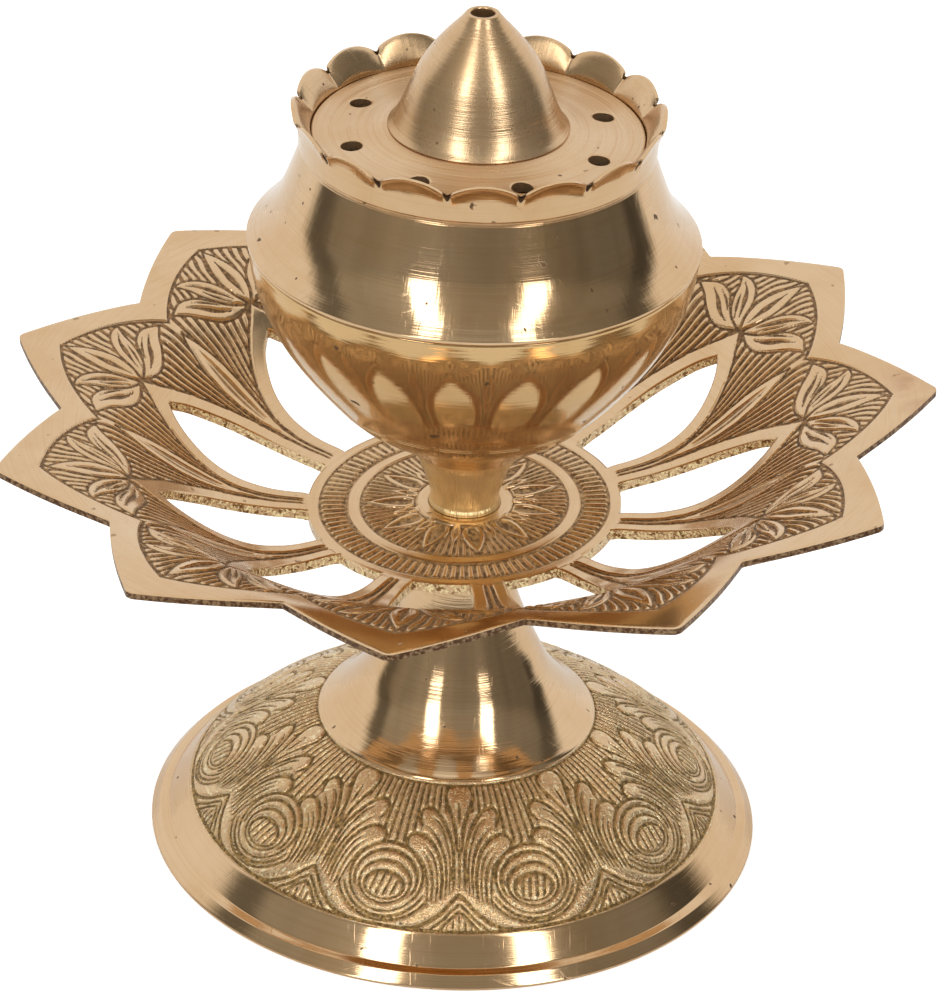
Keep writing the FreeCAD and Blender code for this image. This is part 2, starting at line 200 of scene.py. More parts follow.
def spoke_channel(relief, off_spoke, along, upper):
    """Channel between two petals: a thin ridge that widens into a long leaf with a core."""
    leaf = np.interp(along, *SPOKE_LEAF) - off_spoke
    near = along < 46.8
    relief = moat(relief, leaf, near & ~upper)
    # in the narrow channel everything but the ridge is cut
    narrow = (along < 31.5) & ~upper
    relief = np.where(narrow, relief * smooth_step(29.5, 31.5, along), relief)
    raised = np.maximum(relief, smooth_step(-0.06, 0.14, leaf) * 0.95)
    relief = np.where(near & ~upper, raised, relief)
    core = smooth_step(-0.1, 0.16, np.interp(along, *SPOKE_CORE) - off_spoke)
    depth = 0.62 - 0.3 * smooth_step(0.3, 0.0, off_spoke)
    cored = relief * (1 - depth * core * (along > 31.5) * (along < 44.1))
    return np.where(near, cored, relief)


def tray_hub(rad, ang, side, off_spoke):
    """Rings, ticks and a sunburst round the seat of the stem."""
    ticks = bars(np.degrees(ang) / (PETAL_PITCH / TICKS), duty=0.52, soft=0.15)
    ticks = ticks * smooth_step(16.3, 16.55, rad) * (1 - smooth_step(19.4, 19.65, rad)) * 0.95
    hub = np.maximum(np.where(rad < 19.9, 0, 1.0), ticks)
    hub = np.maximum(hub, smooth_step(14.15, 14.45, rad) * (1 - smooth_step(15.75, 16.05, rad)))
    # long leaves, one on each spoke line
    leaf = np.interp(rad, *SUN_LEAF) - off_spoke
    sun = smooth_step(-0.1, 0.12, leaf) * (rad < 13.4) * (rad > 6.9)
    core = smooth_step(-0.08, 0.14, np.interp(rad, *SUN_CORE) - off_spoke)
    sun = sun * (1 - 0.9 * core * (rad > 7.2) * (rad < 12.3))
    # radial hatch between the leaves
    rays = bars(np.degrees(ang) / 4.1, duty=0.46, soft=0.2)
    rays = rays * smooth_step(9.0, 9.6, rad + 0.25 * np.abs(np.degrees(ang)))
    rays = rays * (1 - smooth_step(13.75, 13.95, rad)) * 0.85
    sun = np.maximum(sun, rays * smooth_step(0.25, 0.5, -leaf))
    # small leaf between the long ones
    small = smooth_step(-0.08, 0.12, np.interp(rad, *SMALL_LEAF) - side) * (rad < 10.7)
    core = smooth_step(0.0, 0.2, np.interp(rad, *SMALL_CORE) - side)
    sun = np.maximum(sun, small * (1 - 0.85 * core * (rad > 7.2) * (rad < 9.4)))
    hub = np.maximum(hub, sun * (rad < 14.1))
    return np.maximum(hub, 1 - smooth_step(6.5, 6.75, rad))


def tray_relief(rad, ang):
    """Relief at a radius and an angle from the petal's centre line (radians, within half a
    pitch): 1 is the polished surface and 0 the engraved ground."""
    x = rad * np.sin(ang)
    y = rad * np.cos(ang)
    side = np.abs(x)
    off_spoke = np.abs(rad * np.sin(HALF_PETAL - np.abs(ang)))
    along_spoke = rad * np.cos(HALF_PETAL - np.abs(ang))
    upper = y > np.interp(side, *HATCH_SPLIT)
    field = inside(side, y, FIELD)
    relief = petal_leaves(x, y, side, field, upper)
    relief = spoke_channel(relief, off_spoke, along_spoke, upper)
    # plain border, with an incised line just inside it
    relief = np.maximum(relief, smooth_step(-0.12, 0.06, -field))
    line = (1 - smooth_step(0.34, 0.52, field)) * (field > 0.02) * smooth_step(0.0, 0.12, field)
    relief = np.where(field > 0, np.minimum(relief, 1 - line), relief)
    # plain band round the slot, outlined
    band = inside(side, y, BAND)
    outline = smooth_step(-0.28, -0.5, band) + (band > -0.06)
    relief = np.where(band > -0.5, np.minimum(relief, outline), relief)
    relief = np.maximum(relief, smooth_step(-0.1, 0.08, band))
    # the channels end at the hub ring
    relief = np.maximum(relief, 1 - smooth_step(21.75, 22.0, rad))
    relief = np.where(rad < 20.4, tray_hub(rad, ang, side, off_spoke), relief)
    return np.clip(relief, 0, 1)


# -------------------------------------------------------------- foot engraving
# One unit runs from cusp to cusp with an eye in its middle. These (x, y) are in the plan of the
# cusp line: y outwards along it, x to one side.
OUTER_LOBE = curve([(2.6, 34.0), (2.35, 31.2), (2.8, 28.8), (4.0, 26.9), (5.3, 26.0),
                    (6.6, 26.1), (7.15, 27.2), (6.5, 28.6)])
MIDDLE_LOBE = curve([(0.85, 33.0), (0.75, 30.0), (1.0, 27.4), (1.9, 25.1), (3.1, 23.2),
                     (4.4, 22.6), (5.25, 23.6), (4.9, 25.3)])
CENTRAL_LOBE = curve([(0.32, 28.5), (0.6, 25.6), (1.25, 23.4), (1.85, 21.4), (1.4, 19.9),
                      (0, 19.35)])
LOBE_LINES = [(OUTER_LOBE, 0.26), (MIDDLE_LOBE, 0.26), (CENTRAL_LOBE, 0.26)]
# line, half width
LOBE_VEINS = [
    (curve([(3.9, 34.6), (3.65, 32.0), (4.0, 29.8), (5.0, 28.0)]), 0.2),
    (curve([(3.2, 34.3), (3.0, 31.6), (3.4, 29.3), (4.5, 27.6)]), 0.17),
    (curve([(2.0, 33.8), (1.75, 31.2), (2.1, 28.8), (3.1, 26.6), (4.4, 25.0)]), 0.22),
    (curve([(1.4, 33.2), (1.25, 30.4), (1.6, 27.7), (2.6, 25.6)]), 0.17),
    (curve([(1.7, 27.0), (2.6, 25.0), (3.7, 24.0)]), 0.16),
    (curve([(4.5, 34.8), (4.35, 32.3), (4.75, 30.0), (5.6, 28.6)]), 0.18),
    (curve([(0.0, 32.9), (0.0, 30.0), (0.0, 26.5)]), 0.2),
    (curve([(0.0, 25.0), (0.0, 22.2)]), 0.2),
]
ARCH_POINTS = [(0, 33.25), (1.0, 34.05), (2.4, 35.15), (4.4, 36.05), (6.4, 36.4), (8.2, 36.1)]
ARCHES = [
    (curve(ARCH_POINTS), 0.24),
    (curve([(0, 34.35), (1.0, 35.0), (2.3, 35.95), (4.0, 36.75)]), 0.2),
    (curve([(0, 35.1), (0.9, 35.6), (2.0, 36.4), (3.0, 37.1)]), 0.2),
]
# areas of the lobes that the radial hatch leaves free
LOBE_AREAS = [
    np.vstack([OUTER_LOBE, [(5.5, 30.5)], [(4.5, 34.8)]]),
    np.vstack([MIDDLE_LOBE, [(5.0, 26.05)], OUTER_LOBE[:int(len(OUTER_LOBE) * 0.5)][::-1]]),
    np.vstack([CENTRAL_LOBE, [(-1, 19.35)], [(-1, 28.5)]]),
]
MIDDLE_EDGE = MIDDLE_LOBE[:int(len(MIDDLE_LOBE) * 0.6)]
# ellipses of the eye, smallest first: half width, half height, centre y, line half width,
# whether the line fades out towards the rim
EYE_RINGS = [(2.75, 1.5, 33.05, 0.24, False), (3.55, 2.35, 32.65, 0.22, False),
             (4.35, 3.15, 32.2, 0.24, True), (5.05, 3.85, 31.95, 0.22, False)]
# wide arcs on the rim side of the eye: half width, half height, centre y, line half width
WIDE_ARCS = [(5.9, 4.55, 31.75, 0.2), (6.7, 5.05, 31.65, 0.18)]
RIM_TRIANGLE = ([0, 0.9, 2.0, 3.0], [35.35, 35.85, 36.65, 37.4])    # x, y of its lower edge


def ellipse_distance(x, y, half_x, half_y, centre):
    """Approximate signed distance to an ellipse, negative inside."""
    scaled = np.sqrt((x / half_x) ** 2 + ((y - centre) / half_y) ** 2)
    slope = np.sqrt((x / half_x ** 2) ** 2 + ((y - centre) / half_y ** 2) ** 2)
    return (scaled - 1) / np.maximum(slope / np.maximum(scaled, 1e-3), 1e-3)


def foot_relief(rad, ang):
    """Relief at a radius and an angle from an eye's centre line (radians, within half a unit):
    1 on the surface, 0 in the cuts."""
    cusp_ang = HALF_UNIT - np.abs(ang)
    x = rad * np.sin(cusp_ang)
    y = rad * np.cos(cusp_ang)
    eye_x = rad * np.sin(ang)
    eye_y = rad * np.cos(ang)
    cut = np.zeros(rad.shape)

    ring_dists = []
    for half_x, half_y, centre, width, fades in EYE_RINGS:
        dist = ellipse_distance(eye_x, eye_y, half_x, half_y, centre)
        ring_dists.append(dist)
        width = width * (1 - 0.45 * smooth_step(33.2, 34.6, eye_y))
        line = 1 - smooth_step(width * 0.45, width * 1.35, np.abs(dist))
        if fades:
            line = line * (1 - smooth_step(32.9, 34.2, eye_y))
        cut = np.maximum(cut, line)
    below_arch = np.interp(x, *zip(*ARCH_POINTS)) - y
    for half_x, half_y, centre, width in WIDE_ARCS:
        dist = np.abs(ellipse_distance(eye_x, eye_y, half_x, half_y, centre))
        line = 1 - smooth_step(width * 0.4, width * 1.3, dist)
        line = line * smooth_step(32.6, 33.6, eye_y) * smooth_step(0.25, 0.6, below_arch)
        cut = np.maximum(cut, line)
    # slanting bars in the smallest ring
    slats = 1 - bars((eye_x + 0.28 * (eye_y - 33)) / 1.02, duty=0.62, soft=0.2)
    cut = np.maximum(cut, slats * smooth_step(0.15, 0.4, -ring_dists[0]) * 0.9)

    outside_eye = ring_dists[-1] >= 0
    for lines, taper in ((LOBE_LINES, (0.1, 0.08)), (LOBE_VEINS, (0.2, 0.3)),
                         (ARCHES, (0.05, 0.15))):
        for line, width in lines:
            cut = np.maximum(cut, groove(x, y, line, width, taper) * outside_eye)
    # triangle of hatch under the rim
    above = y - np.interp(x, *RIM_TRIANGLE)
    hatch = 1 - bars(x / 0.86 + 0.5, duty=0.55, soft=0.2)
    cut = np.maximum(cut, hatch * smooth_step(0.0, 0.25, above) * (x < 3.4) * 0.8)
    # radial hatch towards the trumpet, outside the lobes
    free = np.ones(rad.shape)
    for area in LOBE_AREAS:
        free = free * smooth_step(0.05, 0.3, -inside(x, y, area))
    edge_x = np.interp(-y, -MIDDLE_EDGE[:, 1], MIDDLE_EDGE[:, 0])
    free = free * ~((x < edge_x) & (y > 23.4))
    free = free * (1 - smooth_step(27.6, 28.4, rad)) * smooth_step(19.3, 19.6, rad)
    hatch = 1 - bars(np.degrees(ang) / 2.25 + 0.5, duty=0.55, soft=0.22)
    cut = np.maximum(cut, hatch * free * 0.85)
    # lines along both edges of the engraved belt
    cut = np.maximum(cut, 1 - smooth_step(0.12, 0.34, np.abs(rad - 37.15)))
    cut = np.maximum(cut, (1 - smooth_step(0.1, 0.3, np.abs(rad - 19.55))) * 0.8)
    return 1 - np.clip(cut, 0, 1)


# ------------------------------------------------------------------ mesh tools
def build(name, points, quads, tris=None, point=None, sharp=None):
    """Mesh object from vertices in mm, faces, point attributes and sharp edges."""
    points = np.asarray(points, float) * MM
    faces = [np.asarray(f, np.int32) for f in (quads, tris) if f is not None and len(f)]
    # outward winding from the signed volume
    volume = 0.0
    for face in faces:
        corners = [points[face[:, k]] for k in range(face.shape[1])]
        for second, third in zip(corners[1:-1], corners[2:]):
            volume += np.einsum("ij,ij->i", corners[0], np.cross(second, third)).sum()
    if volume < 0:
        faces = [face[:, ::-1] for face in faces]
    loops = np.concatenate([face.ravel() for face in faces])
    sizes = np.concatenate([np.full(len(face), face.shape[1], np.int32) for face in faces])
    starts = np.concatenate([[0], np.cumsum(sizes)[:-1]]).astype(np.int32)
    mesh = bpy.data.meshes.new(name)
    mesh.vertices.add(len(points))
    mesh.vertices.foreach_set("co", points.astype(np.float32).ravel())
    mesh.loops.add(len(loops))
    mesh.loops.foreach_set("vertex_index", loops)
    mesh.polygons.add(len(sizes))
    mesh.polygons.foreach_set("loop_start", starts)
    mesh.update(calc_edges=True)
    mesh.validate(verbose=False)
    mesh.polygons.foreach_set("use_smooth", np.ones(len(mesh.polygons), bool))
    for key, values in (point or {}).items():
        layer = mesh.attributes.new(key, "FLOAT", "POINT")
        layer.data.foreach_set("value", np.asarray(values, np.float32).ravel())
    if sharp is not None:
        edges = np.empty(len(mesh.edges) * 2, np.int32)
        mesh.edges.foreach_get("vertices", edges)
        edges = np.sort(edges.reshape(-1, 2), axis=1).astype(np.int64)
        marked = np.sort(sharp, axis=1).astype(np.int64)
        base = len(points) + 1
        hit = np.isin(edges[:, 0] * base + edges[:, 1], marked[:, 0] * base + marked[:, 1])
        layer = (mesh.attributes.get("sharp_edge")
                 or mesh.attributes.new("sharp_edge", "BOOLEAN", "EDGE"))
        layer.data.foreach_set("value", hit)
    mesh.update()
    obj = bpy.data.objects.new(name, mesh)
    bpy.context.scene.collection.objects.link(obj)
    return obj


def without_doubles(points, closed):
    """The same polyline without doubled points."""
    kept = [points[0]]
    for point in points[1:]:
        if np.hypot(*(point - kept[-1])) > 1e-4:
            kept.append(point)
    if closed and np.hypot(*(kept[0] - kept[-1])) < 1e-4:
        kept.pop()
    return np.array(kept)


def rounded(points, radius=0.12, min_turn=14.0, closed=True):
    """Polyline with its corners sharper than min_turn degrees replaced by small arcs."""
    line = without_doubles(np.array(points, float), closed)
    count = len(line)
    out = []
    for i in range(count):
        corner = line[i]
        if not closed and i in (0, count - 1):
            out.append(corner)
            continue
        back, ahead = line[i - 1] - corner, line[(i + 1) % count] - corner
        back_len, ahead_len = np.hypot(*back), np.hypot(*ahead)
        back, ahead = back / back_len, ahead / ahead_len
        if 180 - np.degrees(np.arccos(np.clip(back @ ahead, -1, 1))) < min_turn:
            out.append(corner)
            continue
        reach = min(radius, back_len * 0.45, ahead_len * 0.45)
        start, end = corner + back * reach, corner + ahead * reach
        # an extra point on each long side keeps the shading flat there
        if back_len > 3 * reach:
            out.append(corner + back * min(2.2 * reach, back_len * 0.5))
        for t in np.linspace(0, 1, 5):
            out.append((1 - t) ** 2 * start + 2 * t * (1 - t) * corner + t * t * end)
        if ahead_len > 3 * reach:
            out.append(corner + ahead * min(2.2 * reach, ahead_len * 0.5))
    return without_doubles(out, closed)


def dense(points, step, closed=True):
    """Polyline with long spans divided."""
    out = []
    count = len(points)
    for i in range(count if closed else count - 1):
        start, end = points[i], points[(i + 1) % count]
        parts = max(1, int(math.ceil(np.hypot(*(end - start)) / step)))
        for t in range(parts):
            out.append(start + (end - start) * t / parts)
    if not closed:
        out.append(points[-1])
    return np.array(out)


def turned_mesh(name, rad, height, azimuth, point=None):
    """Ring-shaped mesh from a grid whose rows and columns both close on themselves."""
    rows, cols = rad.shape
    points = np.stack([rad * np.cos(azimuth), rad * np.sin(azimuth), height], -1)
    i, j = np.meshgrid(np.arange(rows), np.arange(cols), indexing="ij")
    i2, j2 = (i + 1) % rows, (j + 1) % cols
    quads = np.stack([i * cols + j, i * cols + j2, i2 * cols + j2, i2 * cols + j], -1)
    return build(name, points.reshape(-1, 3), quads.reshape(-1, 4), point=point)


def lathe(name, profile, segments, warp=None, attributes=None):
    """Closed profile (radius, z) turned about Z. warp(rad, height, azimuth) may move points;
    attributes are functions of the same, taken before the warp."""
    around = np.linspace(0, 2 * np.pi, segments, endpoint=False)
    rad = np.repeat(profile[:, :1], segments, 1)
    height = np.repeat(profile[:, 1:], segments, 1)
    azimuth = np.repeat(around[None], len(profile), 0)
    point = {key: func(rad, height, azimuth) for key, func in (attributes or {}).items()}
    if warp:
        rad, height = warp(rad, height, azimuth)
    return turned_mesh(name, rad, height, azimuth, point)


def snapped(radii, angles, distance):
    """Sector grid with the vertices outside the material moved onto its outline.
    distance(rad, ang) is positive in the material. Returns x, y, the distances before the move
    and the mask of cells to keep, whose last column reaches into the next sector."""
    rad, ang = np.meshgrid(radii, angles, indexing="ij")
    dist = distance(rad, ang)
    solid = dist > 0.0
    x, y = rad * np.sin(ang), rad * np.cos(ang)

    def distance_at(px, py):
        return distance(np.hypot(px, py), np.arctan2(px, py))
    probe = 0.02
    grad_x = (distance_at(x + probe, y) - distance_at(x - probe, y)) / (2 * probe)
    grad_y = (distance_at(x, y + probe) - distance_at(x, y - probe)) / (2 * probe)
    steep = np.maximum(np.hypot(grad_x, grad_y), 1e-6)
    move = np.where(solid, 0, -dist)
    wrap = np.hstack([solid, solid[:, :1]])
    cells = wrap[:-1, :-1] | wrap[1:, :-1] | wrap[:-1, 1:] | wrap[1:, 1:]
    return x + grad_x / steep * move, y + grad_y / steep * move, dist, cells


def sector_quads(start, rows, cols, cells, sectors):
    """Quads of a grid repeated in clockwise-running sectors, vertices ordered sector, row,
    column; the column after the last belongs to the sector before."""
    i, j = np.nonzero(cells)
    j2 = (j + 1) % cols
    quads = []
    for sector in range(sectors):
        beside = np.where(j + 1 == cols, (sector - 1) % sectors, sector)
        quads.append(start + np.stack([
            (sector * rows + i) * cols + j, (beside * rows + i) * cols + j2,
            (beside * rows + i + 1) * cols + j2, (sector * rows + i + 1) * cols + j], -1))
    return np.vstack(quads)


def thick_sheet(name, top, bottom, quads, tris, point=None):
    """Solid from a top net and the same net at bottom, with walls along the open edges, which
    are marked sharp. Unused vertices are left out."""
    count = len(top)
    edges = np.vstack([face[:, [k, (k + 1) % face.shape[1]]]
                       for face in (quads, tris) for k in range(face.shape[1])])
    pair = np.sort(edges, axis=1).astype(np.int64)
    _, first, uses = np.unique(pair[:, 0] * (count + 1) + pair[:, 1],
                               return_index=True, return_counts=True)
    rim = edges[first[uses == 1]]
    walls = np.stack([rim[:, 1], rim[:, 0], rim[:, 0] + count, rim[:, 1] + count], -1)
    used = np.zeros(count, bool)
    used[quads.ravel()] = True
    used[tris.ravel()] = True
    used = np.concatenate([used, used])
    new_id = -np.ones(2 * count, np.int64)
    new_id[used] = np.arange(used.sum())
    return build(name, np.vstack([top, bottom])[used],
                 new_id[np.vstack([quads, quads[:, ::-1] + count, walls])],
                 new_id[np.vstack([tris, tris[:, ::-1] + count])],
                 point={key: values[used] for key, values in (point or {}).items()},
                 sharp=new_id[np.vstack([rim, rim + count])])


# --------------------------------------------------------------- pedestal foot
# (radius, z)
FOOT_RIM = [(40.2, 0.0), (42.7, 0.0), (42.7, 0.35), (41.5, 1.65), (40.33, 1.85), (37.42, 5.28)]
DOME = [(37.4, 5.3), (34.2, 8.35), (31.0, 10.9), (28.0, 13.05), (25.0, 14.9), (22.1, 16.5),
        (19.3, 17.7)]
ROLL_AT_DOME = [(19.25, 17.78), (19.05, 18.02), (18.7, 18.25)]
TRUMPET = [(19.3, 17.7), (16.2, 20.5), (13.4, 24.0), (11.5, 27.6), (9.8, 31.3), (7.75, 36.9),
           (6.5, 42.0), (5.95, 46.0), (5.8, FOOT_TOP)]
FOOT_INSIDE = [(40.2, 0.0), (38.6, 1.3), (35.6, 4.3), (31.9, 7.9), (26.0, 12.3), (21.6, 14.6),
               (17.9, 16.6), (14.6, 19.6), (11.8, 23.3), (9.9, 27.1), (8.3, 31.0), (6.9, 35.5)]
FOOT_COLUMNS = 120          # mesh columns in one unit of the engraving
FOOT_AZIMUTH = 2.3          # degrees, centre line of the first eye
FOOT_DEPTH = 0.42           # depth of the engraving


def make_foot():
    columns = FOOT_UNITS * FOOT_COLUMNS
    dome = curve(DOME, 24)
    radii = np.arange(37.36, 19.34, -0.165)
    heights = np.interp(-radii, -dome[:, 0], dome[:, 1])
    slope = np.gradient(heights, radii)
    normal_r, normal_z = -slope / np.hypot(slope, 1), 1 / np.hypot(slope, 1)
    angles = (np.arange(FOOT_COLUMNS) / FOOT_COLUMNS - 0.5) * (2 * HALF_UNIT)
    relief = foot_relief(*np.meshgrid(radii, angles, indexing="ij"))
    # a blurred copy of the relief crowns the lands between the cuts
    kernel = np.exp(-0.5 * (np.arange(-3, 4) / 1.25) ** 2)
    kernel /= kernel.sum()
    soft = relief
    for axis, mode in ((0, "edge"), (1, "wrap")):
        soft = np.apply_along_axis(
            lambda line: np.convolve(np.pad(line, 3, mode=mode), kernel, "valid"), axis, soft)
    fade = (smooth_step(0, 0.25, 37.4 - radii) * smooth_step(0, 0.3, radii - 19.3))[:, None]
    sink = -FOOT_DEPTH * (1 - (0.45 * relief + 0.55 * soft)) * fade
    belt = [np.tile(part, (1, FOOT_UNITS)) for part in (
        radii[:, None] + normal_r[:, None] * sink,
        heights[:, None] + normal_z[:, None] * sink,
        1 - (1 - relief) * fade)]

    def plain(points, cav=1.0):
        """Rows of radius, height and cavity value for unengraved profile points."""
        points = np.asarray(points, float)
        shape = (len(points), columns)
        return [np.broadcast_to(points[:, :1], shape), np.broadcast_to(points[:, 1:], shape),
                np.full(shape, cav)]
    rim = dense(rounded(FOOT_RIM, 0.11, closed=False), 0.5, closed=False)[1:]
    trumpet = curve(TRUMPET, 10)[1:]
    top = rounded([trumpet[-2], trumpet[-1], (BORE, FOOT_TOP), (BORE, 35.5), (6.9, 35.5),
                   (7.1, 34.9)], 0.15, closed=False)[1:-1]
    parts = [plain(rim), belt, plain(ROLL_AT_DOME), plain(trumpet[trumpet[:, 0] < 18.4][:-1]),
             plain(top), plain(curve(FOOT_INSIDE[::-1], 4)[1:], cav=0.55)]
    rad, height, cav = (np.vstack(rows) for rows in zip(*parts))
    azimuth = (np.radians(FOOT_AZIMUTH) + (np.arange(columns) / columns) * 2 * np.pi
               - HALF_UNIT)
    engraved = np.zeros(rad.shape)
    engraved[len(rim):len(rim) + len(radii)] = 1
    return turned_mesh("engraved_foot", rad, height, azimuth, {"cav": cav, "eng": engraved})


# ------------------------------------------------------------------ petal tray
# radius, z above the tray's flat face
TRAY_TOP = [(-4, 0), (10, 0), (20.1, 0.0), (22.4, 0.3), (27.0, 0.95), (32.0, 2.5), (37.0, 5.3),
            (42.4, 9.35), (45.2, 11.5), (48.2, 13.4), (53.4, 15.3), (58.0, 16.1), (64.5, 16.8)]
TRAY_CURVE = curve(TRAY_TOP, 12)
TIP_RADIUS = 63.85          # where a petal's sides would meet before the tip is rounded
TIP_ROUND = 1.3
NOTCH_RADIUS = 53.9         # where two petals meet
SIDE_BULGE = 0.55
SLOT_INNER_RADIUS = 21.35
TRAY_DEPTH = 0.3            # depth of the engraving
TRAY_THICK = TRAY_FACE - FOOT_TOP
# radii of the mesh rows, columns in one petal; the outer band starts at the inner band's end
TRAY_BANDS = [
    (np.concatenate([np.arange(5.0, 22.3, 0.2), np.arange(22.4, 33.0, 0.26), [33.0]]), 72),
    (np.concatenate([np.arange(33.0, 58.7, 0.215), np.arange(58.9, 62.6, 0.36),
                     np.arange(62.75, 63.6, 0.14)]), 144),
]


def petal_side():
    """One side of a petal from its rounded tip to the notch."""
    tip = np.array([0, TIP_RADIUS])
    span = np.array([NOTCH_RADIUS * math.sin(HALF_PETAL), NOTCH_RADIUS * math.cos(HALF_PETAL)]) - tip
    outward = np.array([-span[1], span[0]]) / np.hypot(*span)
    t = np.linspace(0, 1, 30)[:, None]
    side = tip + span * t + outward * (4 * SIDE_BULGE * t * (1 - t))
    first = side[1] - side[0]
    first = first / np.hypot(*first)
    centre = TIP_RADIUS - TIP_ROUND / first[0]
    cap = np.array([(TIP_ROUND * math.sin(a), centre + TIP_ROUND * math.cos(a))
                    for a in np.linspace(0, math.atan2(-first[1], first[0]), 7)])
    return np.vstack([cap, side[side[:, 0] > cap[-1, 0] + 0.15]])


def slot_outline():
    reach = math.asin(SLOT[0, 0] / SLOT_INNER_RADIUS)
    arc = SLOT_INNER_RADIUS * np.array([(math.sin(a), math.cos(a))
                                        for a in np.linspace(-reach, reach, 13)])
    return np.vstack([arc[:-1], SLOT, (SLOT * [-1, 1])[::-1][1:-1]])


PETAL_SIDE = petal_side()
SLOT_OUTLINE = slot_outline()


def petal_distance(rad, ang):
    """Signed distance to the petal's outline and its slot, positive in the metal."""
    x, y = rad * np.sin(ang), rad * np.cos(ang)
    dist, _ = line_distance(np.abs(x), y, PETAL_SIDE)
    edge = np.interp(np.abs(ang), np.arctan2(PETAL_SIDE[:, 0], PETAL_SIDE[:, 1]),
                     np.hypot(PETAL_SIDE[:, 0], PETAL_SIDE[:, 1]))
    return np.minimum(np.where(rad < edge, dist, -dist), -inside(x, y, SLOT_OUTLINE))


def tray_height(rad):
    return np.interp(rad, TRAY_CURVE[:, 0], TRAY_CURVE[:, 1])


def tray_normal(rad):
    """Radial and vertical parts of the normal of the tray's top."""
    slope = (tray_height(rad + 0.05) - tray_height(rad - 0.05)) / 0.1
    normal_z = 1 / np.hypot(1, slope)
    return -slope * normal_z, normal_z


def leaned(points):
    """The dish leans on its boss, which stays level."""
    lean_az, lean = math.radians(LEAN_AZIMUTH), math.radians(LEAN)
    axis = np.array([math.sin(lean_az), -math.cos(lean_az), 0.0])
    centre = np.array([0.0, 0.0, (FOOT_TOP + TRAY_FACE) / 2])
    arm = points - centre
    turned = (arm * math.cos(lean) + np.cross(axis, arm) * math.sin(lean)
              + np.outer(arm @ axis, axis) * (1 - math.cos(lean)))
    weight = smooth_step(6.35, 6.75, np.hypot(points[:, 0], points[:, 1]))[:, None]
    return centre + arm * (1 - weight) + turned * weight


def make_tray():
    sheets, cavs, nets = [], [], []
    start = 0
    for radii, cols in TRAY_BANDS:
        angles = (np.arange(cols) / cols - 0.5) * 2 * HALF_PETAL
        x, y, dist, cells = snapped(radii, angles, petal_distance)
        rad, ang = np.hypot(x, y), np.arctan2(x, y)
        relief = tray_relief(rad, np.clip(ang, -HALF_PETAL, HALF_PETAL))
        # cut square to the surface, with the outlines eased
        edge = np.clip(1 - np.maximum(dist, 0) / 0.3, 0, 1) ** 2
        sink = -TRAY_DEPTH * (1 - relief) - 0.11 * edge
        normal_r, normal_z = tray_normal(rad)
        height = TRAY_FACE + tray_height(rad) + normal_z * sink
        rad = rad + normal_r * sink
        for petal in range(PETALS):
            azimuth = math.radians(TIP_AZIMUTH + petal * PETAL_PITCH) - ang
            sheet = np.stack([rad * np.cos(azimuth), rad * np.sin(azimuth), height], -1)
            sheets.append(sheet.reshape(-1, 3))
        cavs.append(np.tile(relief.ravel(), PETALS))
        nets.append((start, len(radii), cols, cells))
        start += len(radii) * cols * PETALS
    top = np.vstack(sheets)

    # the inner band's last row of cells meets the finer outer band through triangles
    (start_in, rows_in, cols_in, cells_in), (start_out, rows_out, cols_out, cells_out) = nets
    quads = np.vstack([sector_quads(start_in, rows_in, cols_in, cells_in[:-1], PETALS),
                       sector_quads(start_out, rows_out, cols_out, cells_out, PETALS)])

    def inner(petal, col):
        return start_in + (petal * rows_in + rows_in - 2) * cols_in + col

    def outer(petal, col):
        return start_out + petal * rows_out * cols_out + col
    tris = []
    for petal in range(PETALS):
        for col in np.nonzero(cells_in[-1])[0]:
            beside = (petal - 1) % PETALS if col + 1 == cols_in else petal
            next_col = (col + 1) % cols_in
            in0, in1 = inner(petal, col), inner(beside, next_col)
            out0, out1 = outer(petal, 2 * col), outer(beside, 2 * next_col)
            middle = outer(petal, 2 * col + 1)
            tris += [(in0, in1, middle), (in0, middle, out0), (in1, out1, middle)]

    # underside: the same net, one wall thickness below
    rad = np.hypot(top[:, 0], top[:, 1])
    thick = np.interp(rad, [22.4, 45.2], [TRAY_THICK, 0.95])
    bottom = top.copy()
    bottom[:, 2] = TRAY_FACE + tray_height(rad) - thick / tray_normal(rad)[1]
    count = len(top)
    return thick_sheet("engraved_tray", leaned(top), leaned(bottom), quads, np.array(tris), {
        "cav": np.concatenate(cavs + [np.full(count, 0.8)]),
        "under": np.concatenate([np.zeros(count), np.ones(count)])})


# ---------------------------------------------------- turned pieces of the pot
# All profiles are (radius, z).
STEM_SIDE = [(4.7, 51.85), (4.72, 52.6), (4.92, 53.6), (5.2, 54.6), (5.6, 55.8), (6.05, 56.95),
             (6.55, 58.0), (7.1, 59.0), (7.65, 59.8), (8.05, STEM_TOP)]
BOWL_OUT = [(8.15, STEM_TOP), (8.9, 61.0), (10.5, 62.4), (12.0, 63.75), (13.2, 64.6),
            (14.4, 65.2), (15.7, 66.0), (18.2, 68.2), (21.7, 72.3), (24.6, 76.2), (26.8, 79.9),
            (28.5, 83.8), (29.45, 87.4), (29.72, 90.3)]
BOWL_LINES = [(18.95, 69.02), (19.0, 69.2), (19.22, 69.36), (19.38, 69.5), (19.44, 69.7),
              (19.66, 69.86)]
BOWL_LIP = [(29.66, 90.62), (29.5, 90.7), (27.1, 90.7), (27.1, 92.0), (25.9, 92.0)]
BOWL_IN = [(8.2, 62.1), (9.5, 63.2), (11.2, 64.75), (13.9, 66.75), (17.1, 69.7), (20.5, 73.5),
           (23.2, 77.1), (25.0, 80.3), (25.9, 83.8)]


